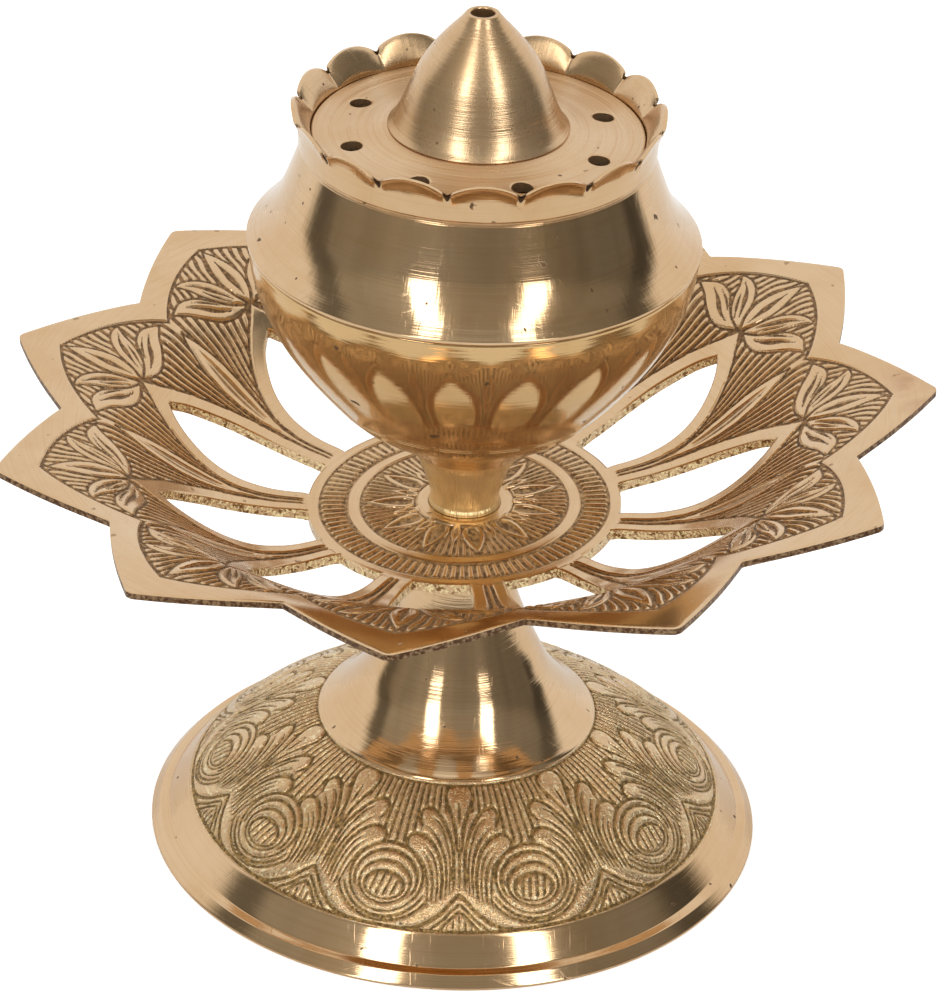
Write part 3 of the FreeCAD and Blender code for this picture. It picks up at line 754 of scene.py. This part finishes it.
def make_stem():
    profile = [(4.95, TRAY_FACE), (4.95, 51.4), *curve(STEM_SIDE, 6),
               (BORE, STEM_TOP), (BORE, TRAY_FACE)]
    return lathe("turned_stem", dense(rounded(profile), 0.8), 192)


def make_bowl():
    outside = list(curve(BOWL_OUT, 10))
    # two fine turned lines replace a short stretch of the underside
    profile = ([q for q in outside if q[0] < 18.75] + BOWL_LINES
               + [q for q in outside if q[0] > 19.9] + BOWL_LIP + list(curve(BOWL_IN[::-1]))
               + [(BORE, BOWL_IN[0][1]), (BORE, STEM_TOP)])
    return lathe("polished_bowl", dense(rounded(profile, 0.14), 1.0), 320)


COLLAR_FOOT = [(29.85, 90.75), (30.0, 90.92)]
COLLAR_OUT = [(30.0, 91.35), (29.35, 92.0), (28.38, 93.0), (27.55, 94.0), (26.85, 95.0),
              (26.26, 96.0), (25.76, 97.0), (25.34, 98.0), (24.57, 100.0), (23.84, 102.0),
              (23.15, 103.95)]
COLLAR_RINGS = [(23.08, 104.0), (23.22, 104.12), (23.12, 104.3), (23.3, 104.45),
                (23.25, 104.62), (23.42, 104.8)]
SCALLOP_BASE, SCALLOP_TOP = 105.6, 110.15       # z where the scallops start and end
LIP_OUT = [(23.46, 106.2), (23.6, 107.8), (23.88, 109.0), (24.12, 109.7), (24.28, 110.05)]
LIP_IN = [(23.82, SCALLOP_TOP), (23.4, 109.7), (22.95, 109.0), (22.3, 107.9), (21.9, 107.0),
          (21.82, 106.0)]
LID_SEAT = [(21.82, 105.1), (20.4, 105.1), (20.4, 103.6)]
COLLAR_IN = [(26.9, 92.15), (25.65, 93.7), (24.6, 95.4), (23.75, 97.4), (23.0, 99.5),
             (22.3, 101.6), (21.75, 103.6)]
COLLAR_REBATE = [(27.2, 92.15), (27.2, 91.0), (27.45, 90.75)]
SCALLOPS = 16
SCALLOP_AZIMUTH = 13.75     # degrees, a notch between two scallops
SCALLOP_HALF = 23.8 * math.sin(math.pi / SCALLOPS)
SCALLOP_RISE = 1.65
SCALLOP_RADIUS = (SCALLOP_HALF ** 2 + SCALLOP_RISE ** 2) / (2 * SCALLOP_RISE)


def make_collar():
    profile = (COLLAR_FOOT + list(curve(COLLAR_OUT)) + COLLAR_RINGS + list(curve(LIP_OUT, 5))
               + list(curve(LIP_IN, 4)) + LID_SEAT + list(curve(COLLAR_IN[::-1], 6))
               + COLLAR_REBATE)
    profile = dense(rounded(profile, 0.1, min_turn=20), 0.7)
    crest = int(np.argmax(profile[:, 1]))
    outer_rows = (np.arange(len(profile)) <= crest)[:, None]

    def scallop(height, azimuth):
        """Place across a scallop, -1 and 1 at its notches, and rise up it from 0 to 1."""
        turns = (np.degrees(azimuth) - SCALLOP_AZIMUTH) / (360 / SCALLOPS)
        rise = np.clip((height - SCALLOP_BASE) / (SCALLOP_TOP - SCALLOP_BASE), 0, 1)
        return (turns - np.floor(turns)) * 2 - 1, rise

    def warp(rad, height, azimuth):
        across, rise = scallop(height, azimuth)
        x = across * SCALLOP_HALF
        crown = (SCALLOP_TOP - SCALLOP_RADIUS
                 + np.sqrt(np.maximum(SCALLOP_RADIUS ** 2 - x ** 2, 0)))
        new_height = np.where(height > SCALLOP_BASE,
                              SCALLOP_BASE + rise * (crown - SCALLOP_BASE), height)
        lean = (0.13 * np.cos(across * np.pi / 2) + 0.02) * rise ** 1.6
        new_rad = rad + np.where(rad > 20.5, lean, 0)
        # pointed nick at each notch, cut into the outer face
        nick = np.exp(-(((1 - np.abs(across)) * SCALLOP_HALF) / 0.42) ** 2)
        new_rad = new_rad - np.where(outer_rows & (rad > 22.9),
                                     0.62 * nick * smooth_step(0.45, 0.95, rise), 0)
        new_height = new_height - np.where(outer_rows & (height > 107.0),
                                           0.22 * nick * rise ** 2, 0)
        return new_rad, new_height

    def nick_mask(rad, height, azimuth):
        across, rise = scallop(height, azimuth)
        width = 0.16 + 0.42 * smooth_step(0.55, 1.0, rise)
        mask = np.exp(-(((1 - np.abs(across)) * SCALLOP_HALF) / width) ** 4)
        return mask * smooth_step(0.60, 0.78, rise) * (rad > 22.9) * outer_rows
    return lathe("scalloped_collar", profile, SCALLOPS * 40, warp, {"nick": nick_mask})


LID_BOSS_RADIUS = 11.9      # foot of the cone, where the lid plate starts to fall
LID_BOSS_Z = 107.3
CONE_OUT = [(LID_BOSS_RADIUS, 107.45), (11.2, 108.3), (10.35, 109.9), (9.7, 111.5),
            (8.95, 113.4), (8.2, 115.2), (7.2, 117.0), (6.0, 118.7), (4.5, 120.5),
            (3.1, 122.0), (2.35, 122.9)]
CONE_TOP_AND_INSIDE = [
    (2.2, 123.12), (2.0, 123.2), (1.7, 123.18), (1.55, 123.0), (1.55, 120.9), (3.6, 118.6),
    (5.4, 115.4), (6.5, 111.5), (6.5, 104.6), (7.78, 104.6), (7.98, 104.8), (7.98, LID_BOSS_Z)]


def make_cone():
    profile = [(11.75, LID_BOSS_Z), *curve(CONE_OUT), *CONE_TOP_AND_INSIDE]
    return lathe("vent_cone_shell", dense(rounded(profile, 0.08, min_turn=25), 0.6), 256)


LID_DOME = [(21.7, 106.5), (19.6, 106.4), (17.25, 106.45), (14.9, 106.7), (13.2, 107.02),
            (LID_BOSS_RADIUS, LID_BOSS_Z)]
LID_HOLES = 8
LID_HOLE_CIRCLE, LID_HOLE_RADIUS = 17.25, 1.43
LID_HOLE_AZIMUTH = 19.7     # degrees, the first hole
LID_COLUMNS = 90            # mesh columns in one sector
LID_UNDERSIDE = 105.15
LID_RADII = np.concatenate([np.linspace(8.0, 15.2, 16), np.arange(15.4, 19.2, 0.16),
                            np.linspace(19.3, 21.4, 8), [21.55, 21.64, 21.68, 21.7]])


def lid_distance(rad, ang):
    """Signed distance to the hole on the sector's centre line, negative in the hole."""
    return np.hypot(rad * np.sin(ang), rad * np.cos(ang) - LID_HOLE_CIRCLE) - LID_HOLE_RADIUS


def make_lid():
    angles = (np.arange(LID_COLUMNS) / LID_COLUMNS - 0.5) * 2 * math.radians(180 / LID_HOLES)
    x, y, dist, cells = snapped(LID_RADII, angles, lid_distance)
    rad = np.hypot(x, y)
    dome = curve(LID_DOME)[::-1]
    height = np.interp(rad, [8.0, *dome[:, 0]], [LID_BOSS_Z, *dome[:, 1]])
    # shallow ring, rounded edge, eased holes
    ring = rad - 19.9
    height = height - (0.02 * np.cos(np.clip(ring / 0.35, -math.pi, math.pi))
                       * (np.abs(ring) < 1.0))
    height = height - 0.14 * np.clip((rad - 21.5) / 0.2, 0, 1) ** 2
    height = height - 0.1 * np.clip(1 - np.maximum(dist, 0) / 0.22, 0, 1) ** 2
    sheets = []
    for hole in range(LID_HOLES):
        azimuth = math.radians(LID_HOLE_AZIMUTH + 360 / LID_HOLES * hole) - np.arctan2(x, y)
        sheet = np.stack([rad * np.cos(azimuth), rad * np.sin(azimuth), height], -1)
        sheets.append(sheet.reshape(-1, 3))
    top = np.vstack(sheets)
    bottom = top.copy()
    bottom[:, 2] = LID_UNDERSIDE
    quads = sector_quads(0, len(LID_RADII), LID_COLUMNS, cells, LID_HOLES)
    return thick_sheet("drilled_lid", top, bottom, quads, np.zeros((0, 3), int))


# ------------------------------------------------------------------- materials
class Net:
    """Small helper for building a node tree; values may be sockets or constants."""

    def __init__(self, tree):
        self.tree = tree
        tree.nodes.clear()

    def put(self, socket, value):
        if isinstance(value, bpy.types.NodeSocket):
            self.tree.links.new(value, socket)
        else:
            socket.default_value = value

    def node(self, kind, inputs=None, **props):
        node = self.tree.nodes.new(kind)
        for key, value in props.items():
            setattr(node, key, value)
        for key, value in (inputs or {}).items():
            self.put(node.inputs[key], value)
        return node

    def math(self, operation, a, b=0.0):
        return self.node("ShaderNodeMath", {0: a, 1: b, 2: 0.0}, operation=operation).outputs[0]

    def add(self, a, b):
        return self.math("ADD", a, b)

    def sub(self, a, b):
        return self.math("SUBTRACT", a, b)

    def mul(self, a, b):
        return self.math("MULTIPLY", a, b)

    def scale(self, value, by):
        return self.mul(value, by)

    def flip(self, value):
        return self.sub(1.0, value)

    def swing(self, value, spread):
        """A 0 to 1 value turned into a deviation about zero."""
        return self.scale(self.sub(value, 0.5), by=spread)

    def step(self, value, lo, hi):
        return self.node("ShaderNodeMapRange", {"Value": value, "From Min": lo, "From Max": hi},
                         interpolation_type="SMOOTHSTEP", clamp=True).outputs[0]

    def split(self, vector):
        return self.node("ShaderNodeSeparateXYZ", {0: vector}).outputs

    def vector(self, x, y, z):
        return self.node("ShaderNodeCombineXYZ", {0: x, 1: y, 2: z}).outputs[0]

    def noise(self, vector, scale, detail=2.0, rough=0.5, distort=0.0):
        return self.node("ShaderNodeTexNoise", {
            "Vector": vector, "Scale": scale, "Detail": detail, "Roughness": rough,
            "Distortion": distort}).outputs[0]

    def mix(self, factor, a, b):
        """Mix of two colours."""
        node = self.node("ShaderNodeMix", {"Factor": factor}, data_type="RGBA")
        for socket, value in ((node.inputs[6], a), (node.inputs[7], b)):
            self.put(socket, (*value, 1.0) if isinstance(value, tuple) else value)
        return node.outputs[2]

    def mix_value(self, factor, a, b):
        return self.node("ShaderNodeMix", {"Factor": factor, 2: a, 3: b},
                         data_type="FLOAT").outputs[0]

    def attribute(self, name):
        return self.node("ShaderNodeAttribute", attribute_name=name).outputs["Fac"]


def srgb(*channels):
    """Linear colour from 0 to 255 sRGB channels."""
    return tuple((c / 255 / 12.92) if c / 255 <= 0.04045 else ((c / 255 + 0.055) / 1.055) ** 2.4
                 for c in channels)


class Brass(Net):
    """Turned brass. Further layers change its colour, roughness, bump height and metallic."""

    def __init__(self, name, rough, lines, tint=srgb(214, 183, 145), deep=srgb(196, 152, 98),
                 rings=0.25, metal=1.0):
        self.material = bpy.data.materials.new(name)
        self.material.use_nodes = True
        super().__init__(self.material.node_tree)
        self.metal = metal
        coord = self.node("ShaderNodeTexCoord")
        self.place = coord.outputs["Object"]
        self.facing = coord.outputs["Normal"]
        self.x, self.y, self.z = self.split(self.place)
        self.radius = self.math("SQRT", self.add(self.mul(self.x, self.x),
                                                 self.mul(self.y, self.y)))
        self.angle = self.math("ARCTAN2", self.y, self.x)
        # turned lines: noise that changes across radius and height but hardly round the part
        around = self.scale(self.angle, by=0.00022)
        turning = self.vector(self.radius, self.z, around)
        coarse = self.noise(turning, scale=2600, detail=2.0, rough=0.6)
        close = self.noise(turning, scale=7000, detail=1.0, rough=0.5)
        line = self.add(self.scale(coarse, by=0.6), self.scale(close, by=0.4))
        scratch = self.math("MAXIMUM",
                            self.scratches((0.3, 0.2, 0.7), (2600, 260, 300), 0.66, 0.72),
                            self.scratches((0.1, 0.5, -0.6), (240, 2800, 320), 0.67, 0.73))
        blotch = self.noise(self.place, scale=70, detail=4.0, rough=0.6, distort=0.4)
        fine = self.grain(900)

        self.colour = self.mix(self.step(blotch, lo=0.35, hi=0.75), tint,
                               tuple(t * 0.6 + d * 0.4 for t, d in zip(tint, deep)))
        self.paint(self.scale(scratch, by=0.05), tuple(c * 0.62 for c in tint))
        self.paint(self.scale(self.step(line, lo=0.45, hi=0.68), by=rings), deep)
        self.rough = self.add(rough, self.swing(blotch, spread=0.14))
        self.roughen(self.scale(scratch, by=0.05))
        self.roughen(self.swing(fine, spread=0.06))
        self.rough = self.math("MAXIMUM", self.rough, 0.05)
        self.height = self.sub(self.swing(line, spread=lines), self.scale(scratch, by=0.05))
        self.raise_by(self.scale(fine, by=0.04))

    def grain(self, scale, detail=3.0, rough=0.6):
        return self.noise(self.place, scale, detail, rough)

    def scratches(self, rotation, stretch, lo, hi):
        mapping = self.node("ShaderNodeMapping", {
            "Vector": self.place, "Rotation": rotation, "Scale": stretch}).outputs[0]
        return self.step(self.noise(mapping, scale=1.0, detail=1.0), lo, hi)

    def paint(self, factor, colour):
        self.colour = self.mix(factor, self.colour, colour)

    def roughen(self, amount):
        self.rough = self.add(self.rough, amount)

    def raise_by(self, amount):
        self.height = self.add(self.height, amount)

    def tarnished_tip(self):
        """Patchy tarnish at the end of the first petal."""
        outer = self.step(self.radius, lo=0.0545, hi=0.0625)
        off_tip = self.sub(self.angle, math.radians(TIP_AZIMUTH))
        near = self.mul(outer, self.step(self.math("COSINE", off_tip), lo=0.9925, hi=0.9985))
        patches = self.step(self.grain(140, rough=0.5), lo=0.36, hi=0.62)
        self.paint(self.scale(self.mul(near, patches), by=0.65), srgb(160, 92, 62))

    def satin_inside(self, amount):
        """Rougher where the surface faces the axis."""
        facing_x, facing_y, _ = self.split(self.facing)
        outward = self.add(self.mul(facing_x, self.x), self.mul(facing_y, self.y))
        outward = self.math("DIVIDE", outward, self.radius)
        inward = self.flip(self.step(outward, lo=-0.35, hi=-0.1))
        self.roughen(self.scale(inward, by=amount))

    def tool_marks(self, amount):
        """Upright marks."""
        around = self.scale(self.angle, by=0.030)
        up = self.scale(self.z, by=0.16)
        marks = self.noise(self.vector(around, up, 0.0), scale=900, detail=2.0, rough=0.6)
        self.raise_by(self.scale(marks, by=amount))

    def spots(self, amount=0.75):
        spots = self.step(self.grain(620, detail=1.0, rough=0.4), lo=0.755, hi=0.79)
        self.paint(self.scale(spots, by=amount), srgb(66, 44, 28))
        self.rough = self.mix_value(spots, self.rough, 0.55)

    def dark_nicks(self):
        nick = self.step(self.attribute("nick"), lo=0.25, hi=0.7)
        self.paint(self.scale(nick, by=0.9), srgb(58, 38, 26))
        self.rough = self.mix_value(nick, self.rough, 0.6)

    def engraved_ground(self, ground):
        """Colour of the cut ground; also finds where the dirt lies."""
        cavity = self.attribute("cav")
        self.grit = self.grain(1500, rough=0.7)
        self.patch = self.grain(420)
        level = self.add(cavity, self.swing(self.patch, spread=0.24))
        self.dirt = self.flip(self.step(level, lo=0.28, hi=0.66))
        return self.mix(self.step(self.grit, lo=0.42, hi=0.66), tuple(c * 0.6 for c in ground),
                        tuple(min(1, c * 1.6) for c in ground))

    def cast_skin_and_painted_glints(self):
        """Warm, grainy skin on the engraved belt of the foot, with painted glints: pale specks that
        stand in for light sparkling off the grains.
        """
        belt = self.attribute("eng")
        warm = self.scale(self.step(self.patch, lo=0.38, hi=0.66), by=0.55)
        self.paint(self.mul(belt, warm), srgb(216, 190, 142))
        # painted glints: pale, partly diffuse specks on the belt stand in for light sparkling off
        # the grains
        painted_glint = self.mul(belt, self.step(self.grain(1700, detail=2.0), lo=0.57, hi=0.64))
        self.paint(self.scale(painted_glint, by=0.75), srgb(255, 240, 196))
        self.metal = self.mix_value(self.scale(painted_glint, by=0.5), self.metal, 0.3)
        self.roughen(self.mul(belt, self.add(0.01, self.scale(self.grit, by=0.12))))
        finest = self.grain(3600, detail=2.0, rough=0.7)
        bumps = self.add(self.scale(self.grit, by=3.4), self.scale(finest, by=3.0))
        self.raise_by(self.mul(belt, bumps))

    def fill_cuts(self, ground, metal):
        self.paint(self.dirt, ground)
        self.rough = self.mix_value(self.dirt, self.rough, 0.52)
        self.raise_by(self.mul(self.dirt, self.scale(self.grit, by=1.6)))
        self.metal = self.mix_value(self.dirt, self.metal, metal)

    def sawn_walls_and_painted_glints(self):
        """Coarse slot walls with painted glints, pale specks that stand in for light sparkling off
        them, and a dark outer rim.
        """
        upright = self.math("ABSOLUTE", self.split(self.facing)[2])
        wall = self.flip(self.step(upright, lo=0.25, hi=0.5))
        rim = self.mul(wall, self.step(self.radius, lo=0.045, hi=0.0475))
        wall = self.mul(wall, self.flip(self.step(self.radius, lo=0.045, hi=0.0475)))
        uneven = self.scale(self.step(self.grain(1900), lo=0.35, hi=0.6), by=0.42)
        self.paint(self.mul(rim, self.add(0.55, uneven)), srgb(78, 51, 34))
        self.roughen(self.scale(rim, by=0.25))
        coarse = self.grain(1150, rough=0.65)
        pits = self.flip(self.step(coarse, lo=0.34, hi=0.50))
        self.paint(self.mul(wall, pits), srgb(128, 92, 54))
        self.rough = self.mix_value(wall, self.rough, 0.17)
        # painted glints: pale, partly diffuse specks on the walls stand in for light sparkling off
        # the sawn faces
        painted_glint = self.mul(wall, self.step(self.grain(2300, detail=2.0), lo=0.50, hi=0.58))
        self.paint(self.scale(painted_glint, by=0.85), srgb(252, 232, 176))
        self.metal = self.mix_value(painted_glint, self.metal, 0.35)
        self.raise_by(self.mul(wall, self.scale(coarse, by=11.0)))

    def finish(self):
        bump = self.node("ShaderNodeBump", {"Strength": 0.55, "Distance": 0.00006,
                                            "Height": self.height}).outputs[0]
        shader = self.node("ShaderNodeBsdfPrincipled", {
            "Base Color": self.colour, "Roughness": self.rough, "Metallic": self.metal,
            "Normal": bump})
        self.node("ShaderNodeOutputMaterial", {0: shader.outputs[0]})
        return self.material


def tray_brass():
    net = Brass("tray_brass", rough=0.17, lines=0.05)
    net.tarnished_tip()
    net.spots(0.3)
    ground = net.engraved_ground(srgb(138, 104, 66))
    # the ground of the hub is painted lighter: painted light that brightens the hub where it lies in
    # the bowl's shade
    hub = net.flip(net.step(net.radius, lo=0.0195, hi=0.024))
    hub_ground_painted_lighter = net.mix(net.step(net.grit, lo=0.38, hi=0.62),
                         srgb(120, 89, 56), srgb(204, 168, 118))
    net.fill_cuts(net.mix(hub, ground, hub_ground_painted_lighter), metal=0.5)
    net.sawn_walls_and_painted_glints()
    return net.finish()


def foot_brass():
    net = Brass("foot_brass", rough=0.10, lines=0.5)
    net.spots()
    ground = net.engraved_ground(srgb(146, 118, 72))
    grains = net.step(net.grain(2400, detail=2.0), lo=0.56, hi=0.66)
    ground = net.mix(net.scale(grains, by=0.8), ground, srgb(222, 180, 112))
    net.cast_skin_and_painted_glints()
    net.fill_cuts(ground, metal=0.7)
    return net.finish()


def stem_brass():
    # Paler tint and lower metallic brighten the stem: partly its own golden tone, partly painted
    # light standing in for the bright reflections it catches.
    net = Brass("stem_brass_brightened", tint=srgb(252, 226, 172), deep=srgb(240, 200, 128),
                rough=0.09, lines=0.7, metal=0.68)
    net.tool_marks(4.0)
    net.spots()
    return net.finish()


def collar_brass():
    net = Brass("collar_brass", rough=0.11, lines=0.45)
    net.satin_inside(0.16)
    net.tool_marks(0.4)
    net.spots()
    net.dark_nicks()
    return net.finish()


def plain_brass(name, **look):
    net = Brass(name, **look)
    net.spots()
    return net.finish()


# ------------------------------------------------------------------------ stage
FLOOR_RINGS = (0.3, 0.62)       # radii
FLOOR_SEGMENTS = 96
FLOOR_Z = -0.00002


def floor_material():
    material = bpy.data.materials.new("pale_floor")
    material.use_nodes = True
    net = Net(material.node_tree)
    coord = net.node("ShaderNodeTexCoord")
    clouds = net.noise(coord.outputs["Object"], scale=14.0)
    colour = net.mix(clouds, (0.86, 0.86, 0.855), (0.88, 0.88, 0.875))
    # the floor glows more when the camera sees it directly
    seen = net.node("ShaderNodeLightPath").outputs["Is Camera Ray"]
    glow = net.add(0.14, net.scale(seen, by=0.40))
    shader = net.node("ShaderNodeBsdfPrincipled", {
        "Base Color": colour, "Roughness": 0.9, "Specular IOR Level": 0.0,
        "Emission Color": (1.0, 1.0, 1.0, 1.0), "Emission Strength": glow})
    net.node("ShaderNodeOutputMaterial", {0: shader.outputs[0]})
    return material


def make_floor():
    """Disc of two rings round a centre point."""
    count = FLOOR_SEGMENTS
    points, faces = [(0.0, 0.0, FLOOR_Z)], []
    for radius in FLOOR_RINGS:
        for k in range(count):
            t = 2 * math.pi * k / count
            points.append((radius * math.cos(t), radius * math.sin(t), FLOOR_Z))
    for k in range(count):
        inner, inner_next = 1 + k, 1 + (k + 1) % count
        faces.append((0, inner, inner_next))
        faces.append((inner, inner + count, inner_next + count, inner_next))
    mesh = bpy.data.meshes.new("studio_floor")
    mesh.from_pydata(points, [], faces)
    obj = bpy.data.objects.new("studio_floor", mesh)
    bpy.context.scene.collection.objects.link(obj)
    mesh.materials.append(floor_material())


# Directions in the world are in degrees: azimuth 0 towards the camera and + to the right.
DEGREES = 57.29578
WINDOW_AZIMUTHS = ((-36.0, -20.6), (29.4, 43.6))
WINDOW_ELEVATION = (18.2, 60.5)
WINDOW_GAIN = 5.0
ROOM_LIGHT = 1.02               # strength outside the dark side


class World(Net):
    """Bright room with a dark side towards the camera and two tall windows of light in it."""

    def remap(self, value, lo, hi, to_lo, to_hi):
        return self.node("ShaderNodeMapRange", {
            "Value": value, "From Min": lo, "From Max": hi, "To Min": to_lo, "To Max": to_hi},
            clamp=True).outputs[0]

    def between(self, value, span, soft):
        lo, hi = span
        return self.mul(self.step(value, lo - soft, lo + soft),
                        self.flip(self.step(value, hi - soft, hi + soft)))

    def directions(self):
        coord = self.node("ShaderNodeTexCoord")
        x, y, z = self.split(coord.outputs["Generated"])
        flat = self.math("SQRT", self.add(self.mul(x, x), self.mul(y, y)))
        self.elevation = self.scale(self.math("ARCTAN2", z, flat), by=DEGREES)
        self.azimuth = self.scale(self.math("ARCTAN2", x, self.scale(y, by=-1.0)), by=DEGREES)
        self.off_axis = self.math("ABSOLUTE", self.azimuth)

    def dark_side(self):
        """Mask of the dark side and its half width, which differs left and right."""
        right = self.remap(self.elevation, lo=0.0, hi=22.0, to_lo=117.0, to_hi=109.0)
        left = self.remap(self.elevation, lo=-5.0, hi=20.0, to_lo=112.0, to_hi=97.0)
        width = self.mix_value(self.step(self.azimuth, lo=-2.0, hi=2.0), left, right)
        across = self.flip(self.step(self.sub(self.off_axis, width), lo=-4.0, hi=4.0))
        above = self.step(self.elevation, lo=-15.0, hi=-11.0)
        below = self.flip(self.step(self.elevation, lo=60.0, hi=74.0))
        return self.mul(across, self.mul(above, below)), width

    def windows(self):
        panes = [self.mul(self.between(self.azimuth, span, soft=1.2),
                          self.between(self.elevation, WINDOW_ELEVATION, soft=1.4))
                 for span in WINDOW_AZIMUTHS]
        return self.add(*panes)

    def dark_level(self, width):
        """Brightness within the dark side."""
        middle = self.flip(self.step(self.off_axis, lo=25.0, hi=70.0))
        streaks = self.noise(self.vector(self.scale(self.azimuth, by=0.05),
                                         self.scale(self.elevation, by=0.008), 0.0),
                             scale=1.0, detail=3.0)
        left = self.flip(self.step(self.azimuth, lo=-70.0, hi=10.0))
        level = self.add(self.add(0.06, self.scale(middle, by=0.10)),
                         self.add(self.scale(streaks, by=0.24), self.scale(left, by=0.13)))
        high = self.step(self.elevation, lo=15.0, hi=27.0)
        level = self.add(level, self.scale(high, by=0.09))
        # a darker stripe nine degrees inside the edge of the dark side
        stripe = self.math("ABSOLUTE", self.sub(self.sub(width, self.off_axis), 9.0))
        stripe = self.flip(self.step(stripe, lo=3.0, hi=11.0))
        return self.mul(level, self.flip(self.scale(stripe, by=0.55)))


def make_world():
    world = bpy.data.worlds.new("studio")
    bpy.context.scene.world = world
    world.use_nodes = True
    net = World(world.node_tree)
    net.directions()
    dark, width = net.dark_side()
    windows = net.windows()
    strength = net.mix_value(dark, ROOM_LIGHT, net.dark_level(width))
    strength = net.add(strength, net.scale(windows, by=WINDOW_GAIN))
    colour = net.mix(net.mul(dark, net.flip(windows)), (1.0, 1.0, 1.0), (1.0, 0.97, 0.88))
    # the camera itself sees plain white
    path = net.node("ShaderNodeLightPath")
    room = net.node("ShaderNodeBackground", {"Color": colour, "Strength": strength})
    white = net.node("ShaderNodeBackground", {"Color": (1.0, 1.0, 1.0, 1.0), "Strength": 1.0})
    both = net.node("ShaderNodeMixShader", {
        0: path.outputs["Is Camera Ray"], 1: room.outputs[0], 2: white.outputs[0]})
    net.node("ShaderNodeOutputWorld", {0: both.outputs[0]})


CAMERA_PLACE = (0.0, -0.4962, 0.3396)
CAMERA_YAW, CAMERA_DOWN, CAMERA_ROLL = 0.0026, 0.5264, 0.0394       # radians
CAMERA_LENS = 151.89259         # mm on a 36 mm sensor


def make_camera():
    forward = Vector((math.sin(CAMERA_YAW) * math.cos(CAMERA_DOWN),
                      math.cos(CAMERA_YAW) * math.cos(CAMERA_DOWN), -math.sin(CAMERA_DOWN)))
    level = Vector((math.cos(CAMERA_YAW), -math.sin(CAMERA_YAW), 0))
    upright = level.cross(forward)
    right = level * math.cos(CAMERA_ROLL) + upright * math.sin(CAMERA_ROLL)
    above = upright * math.cos(CAMERA_ROLL) - level * math.sin(CAMERA_ROLL)
    camera = bpy.data.cameras.new("camera")
    camera.sensor_width = 36.0
    camera.lens = CAMERA_LENS
    camera.clip_start = 0.01
    obj = bpy.data.objects.new("camera", camera)
    rows = zip(right, above, -forward, CAMERA_PLACE)
    obj.matrix_world = Matrix((*rows, (0, 0, 0, 1)))
    bpy.context.scene.collection.objects.link(obj)
    bpy.context.scene.camera = obj


# ------------------------------------------------------------------------ build
TRAY = tray_brass()
FOOT = foot_brass()
STEM = stem_brass()
COLLAR = collar_brass()
BOWL = plain_brass("bowl_brass", tint=srgb(216, 181, 130), deep=srgb(200, 158, 100),
                   rough=0.07, lines=0.5, metal=0.84)
LID = plain_brass("lid_brass", rough=0.29, lines=2.0, rings=0.55, metal=0.84)
CONE = plain_brass("cone_brass", rough=0.27, lines=1.6, rings=0.35, metal=0.9)
FASTENER = plain_brass("fastener_brass_dull", tint=srgb(196, 164, 118), rough=0.28, lines=0.5)

# maker, material, body it rides on, CAD node it replaces, slot
PIECES = [
    (make_foot, FOOT, "base", "pedestal_foot", "cast_brass"),
    (make_tray, TRAY, "base", "petal_tray", "cast_brass"),
    (make_stem, STEM, "base", "bowl_stem", "turned_brass"),
    (make_bowl, BOWL, "base", "lower_bowl", "turned_brass"),
    (make_collar, COLLAR, "pot_top", "pot_collar", "turned_brass"),
    (make_lid, LID, "lid", "lid_plate", "turned_brass"),
    (make_cone, CONE, "lid", "vent_cone", "turned_brass"),
]
for make, material, body, node_name, slot in PIECES:
    piece = make()
    piece.data.materials.append(material)
    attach(piece, body)
    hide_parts(node_name)
for node_name in ("tie_rod", "bowl_nut", "bowl_washer", "foot_nut", "foot_washer"):
    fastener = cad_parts[node_name]
    fastener.data.materials.clear()
    fastener.data.materials.append(FASTENER)

make_floor()
make_world()
make_camera()
scene = bpy.context.scene
scene.view_settings.view_transform = "Standard"
scene.view_settings.look = "None"
scene.cycles.glossy_bounces = 8
scene.cycles.diffuse_bounces = 6
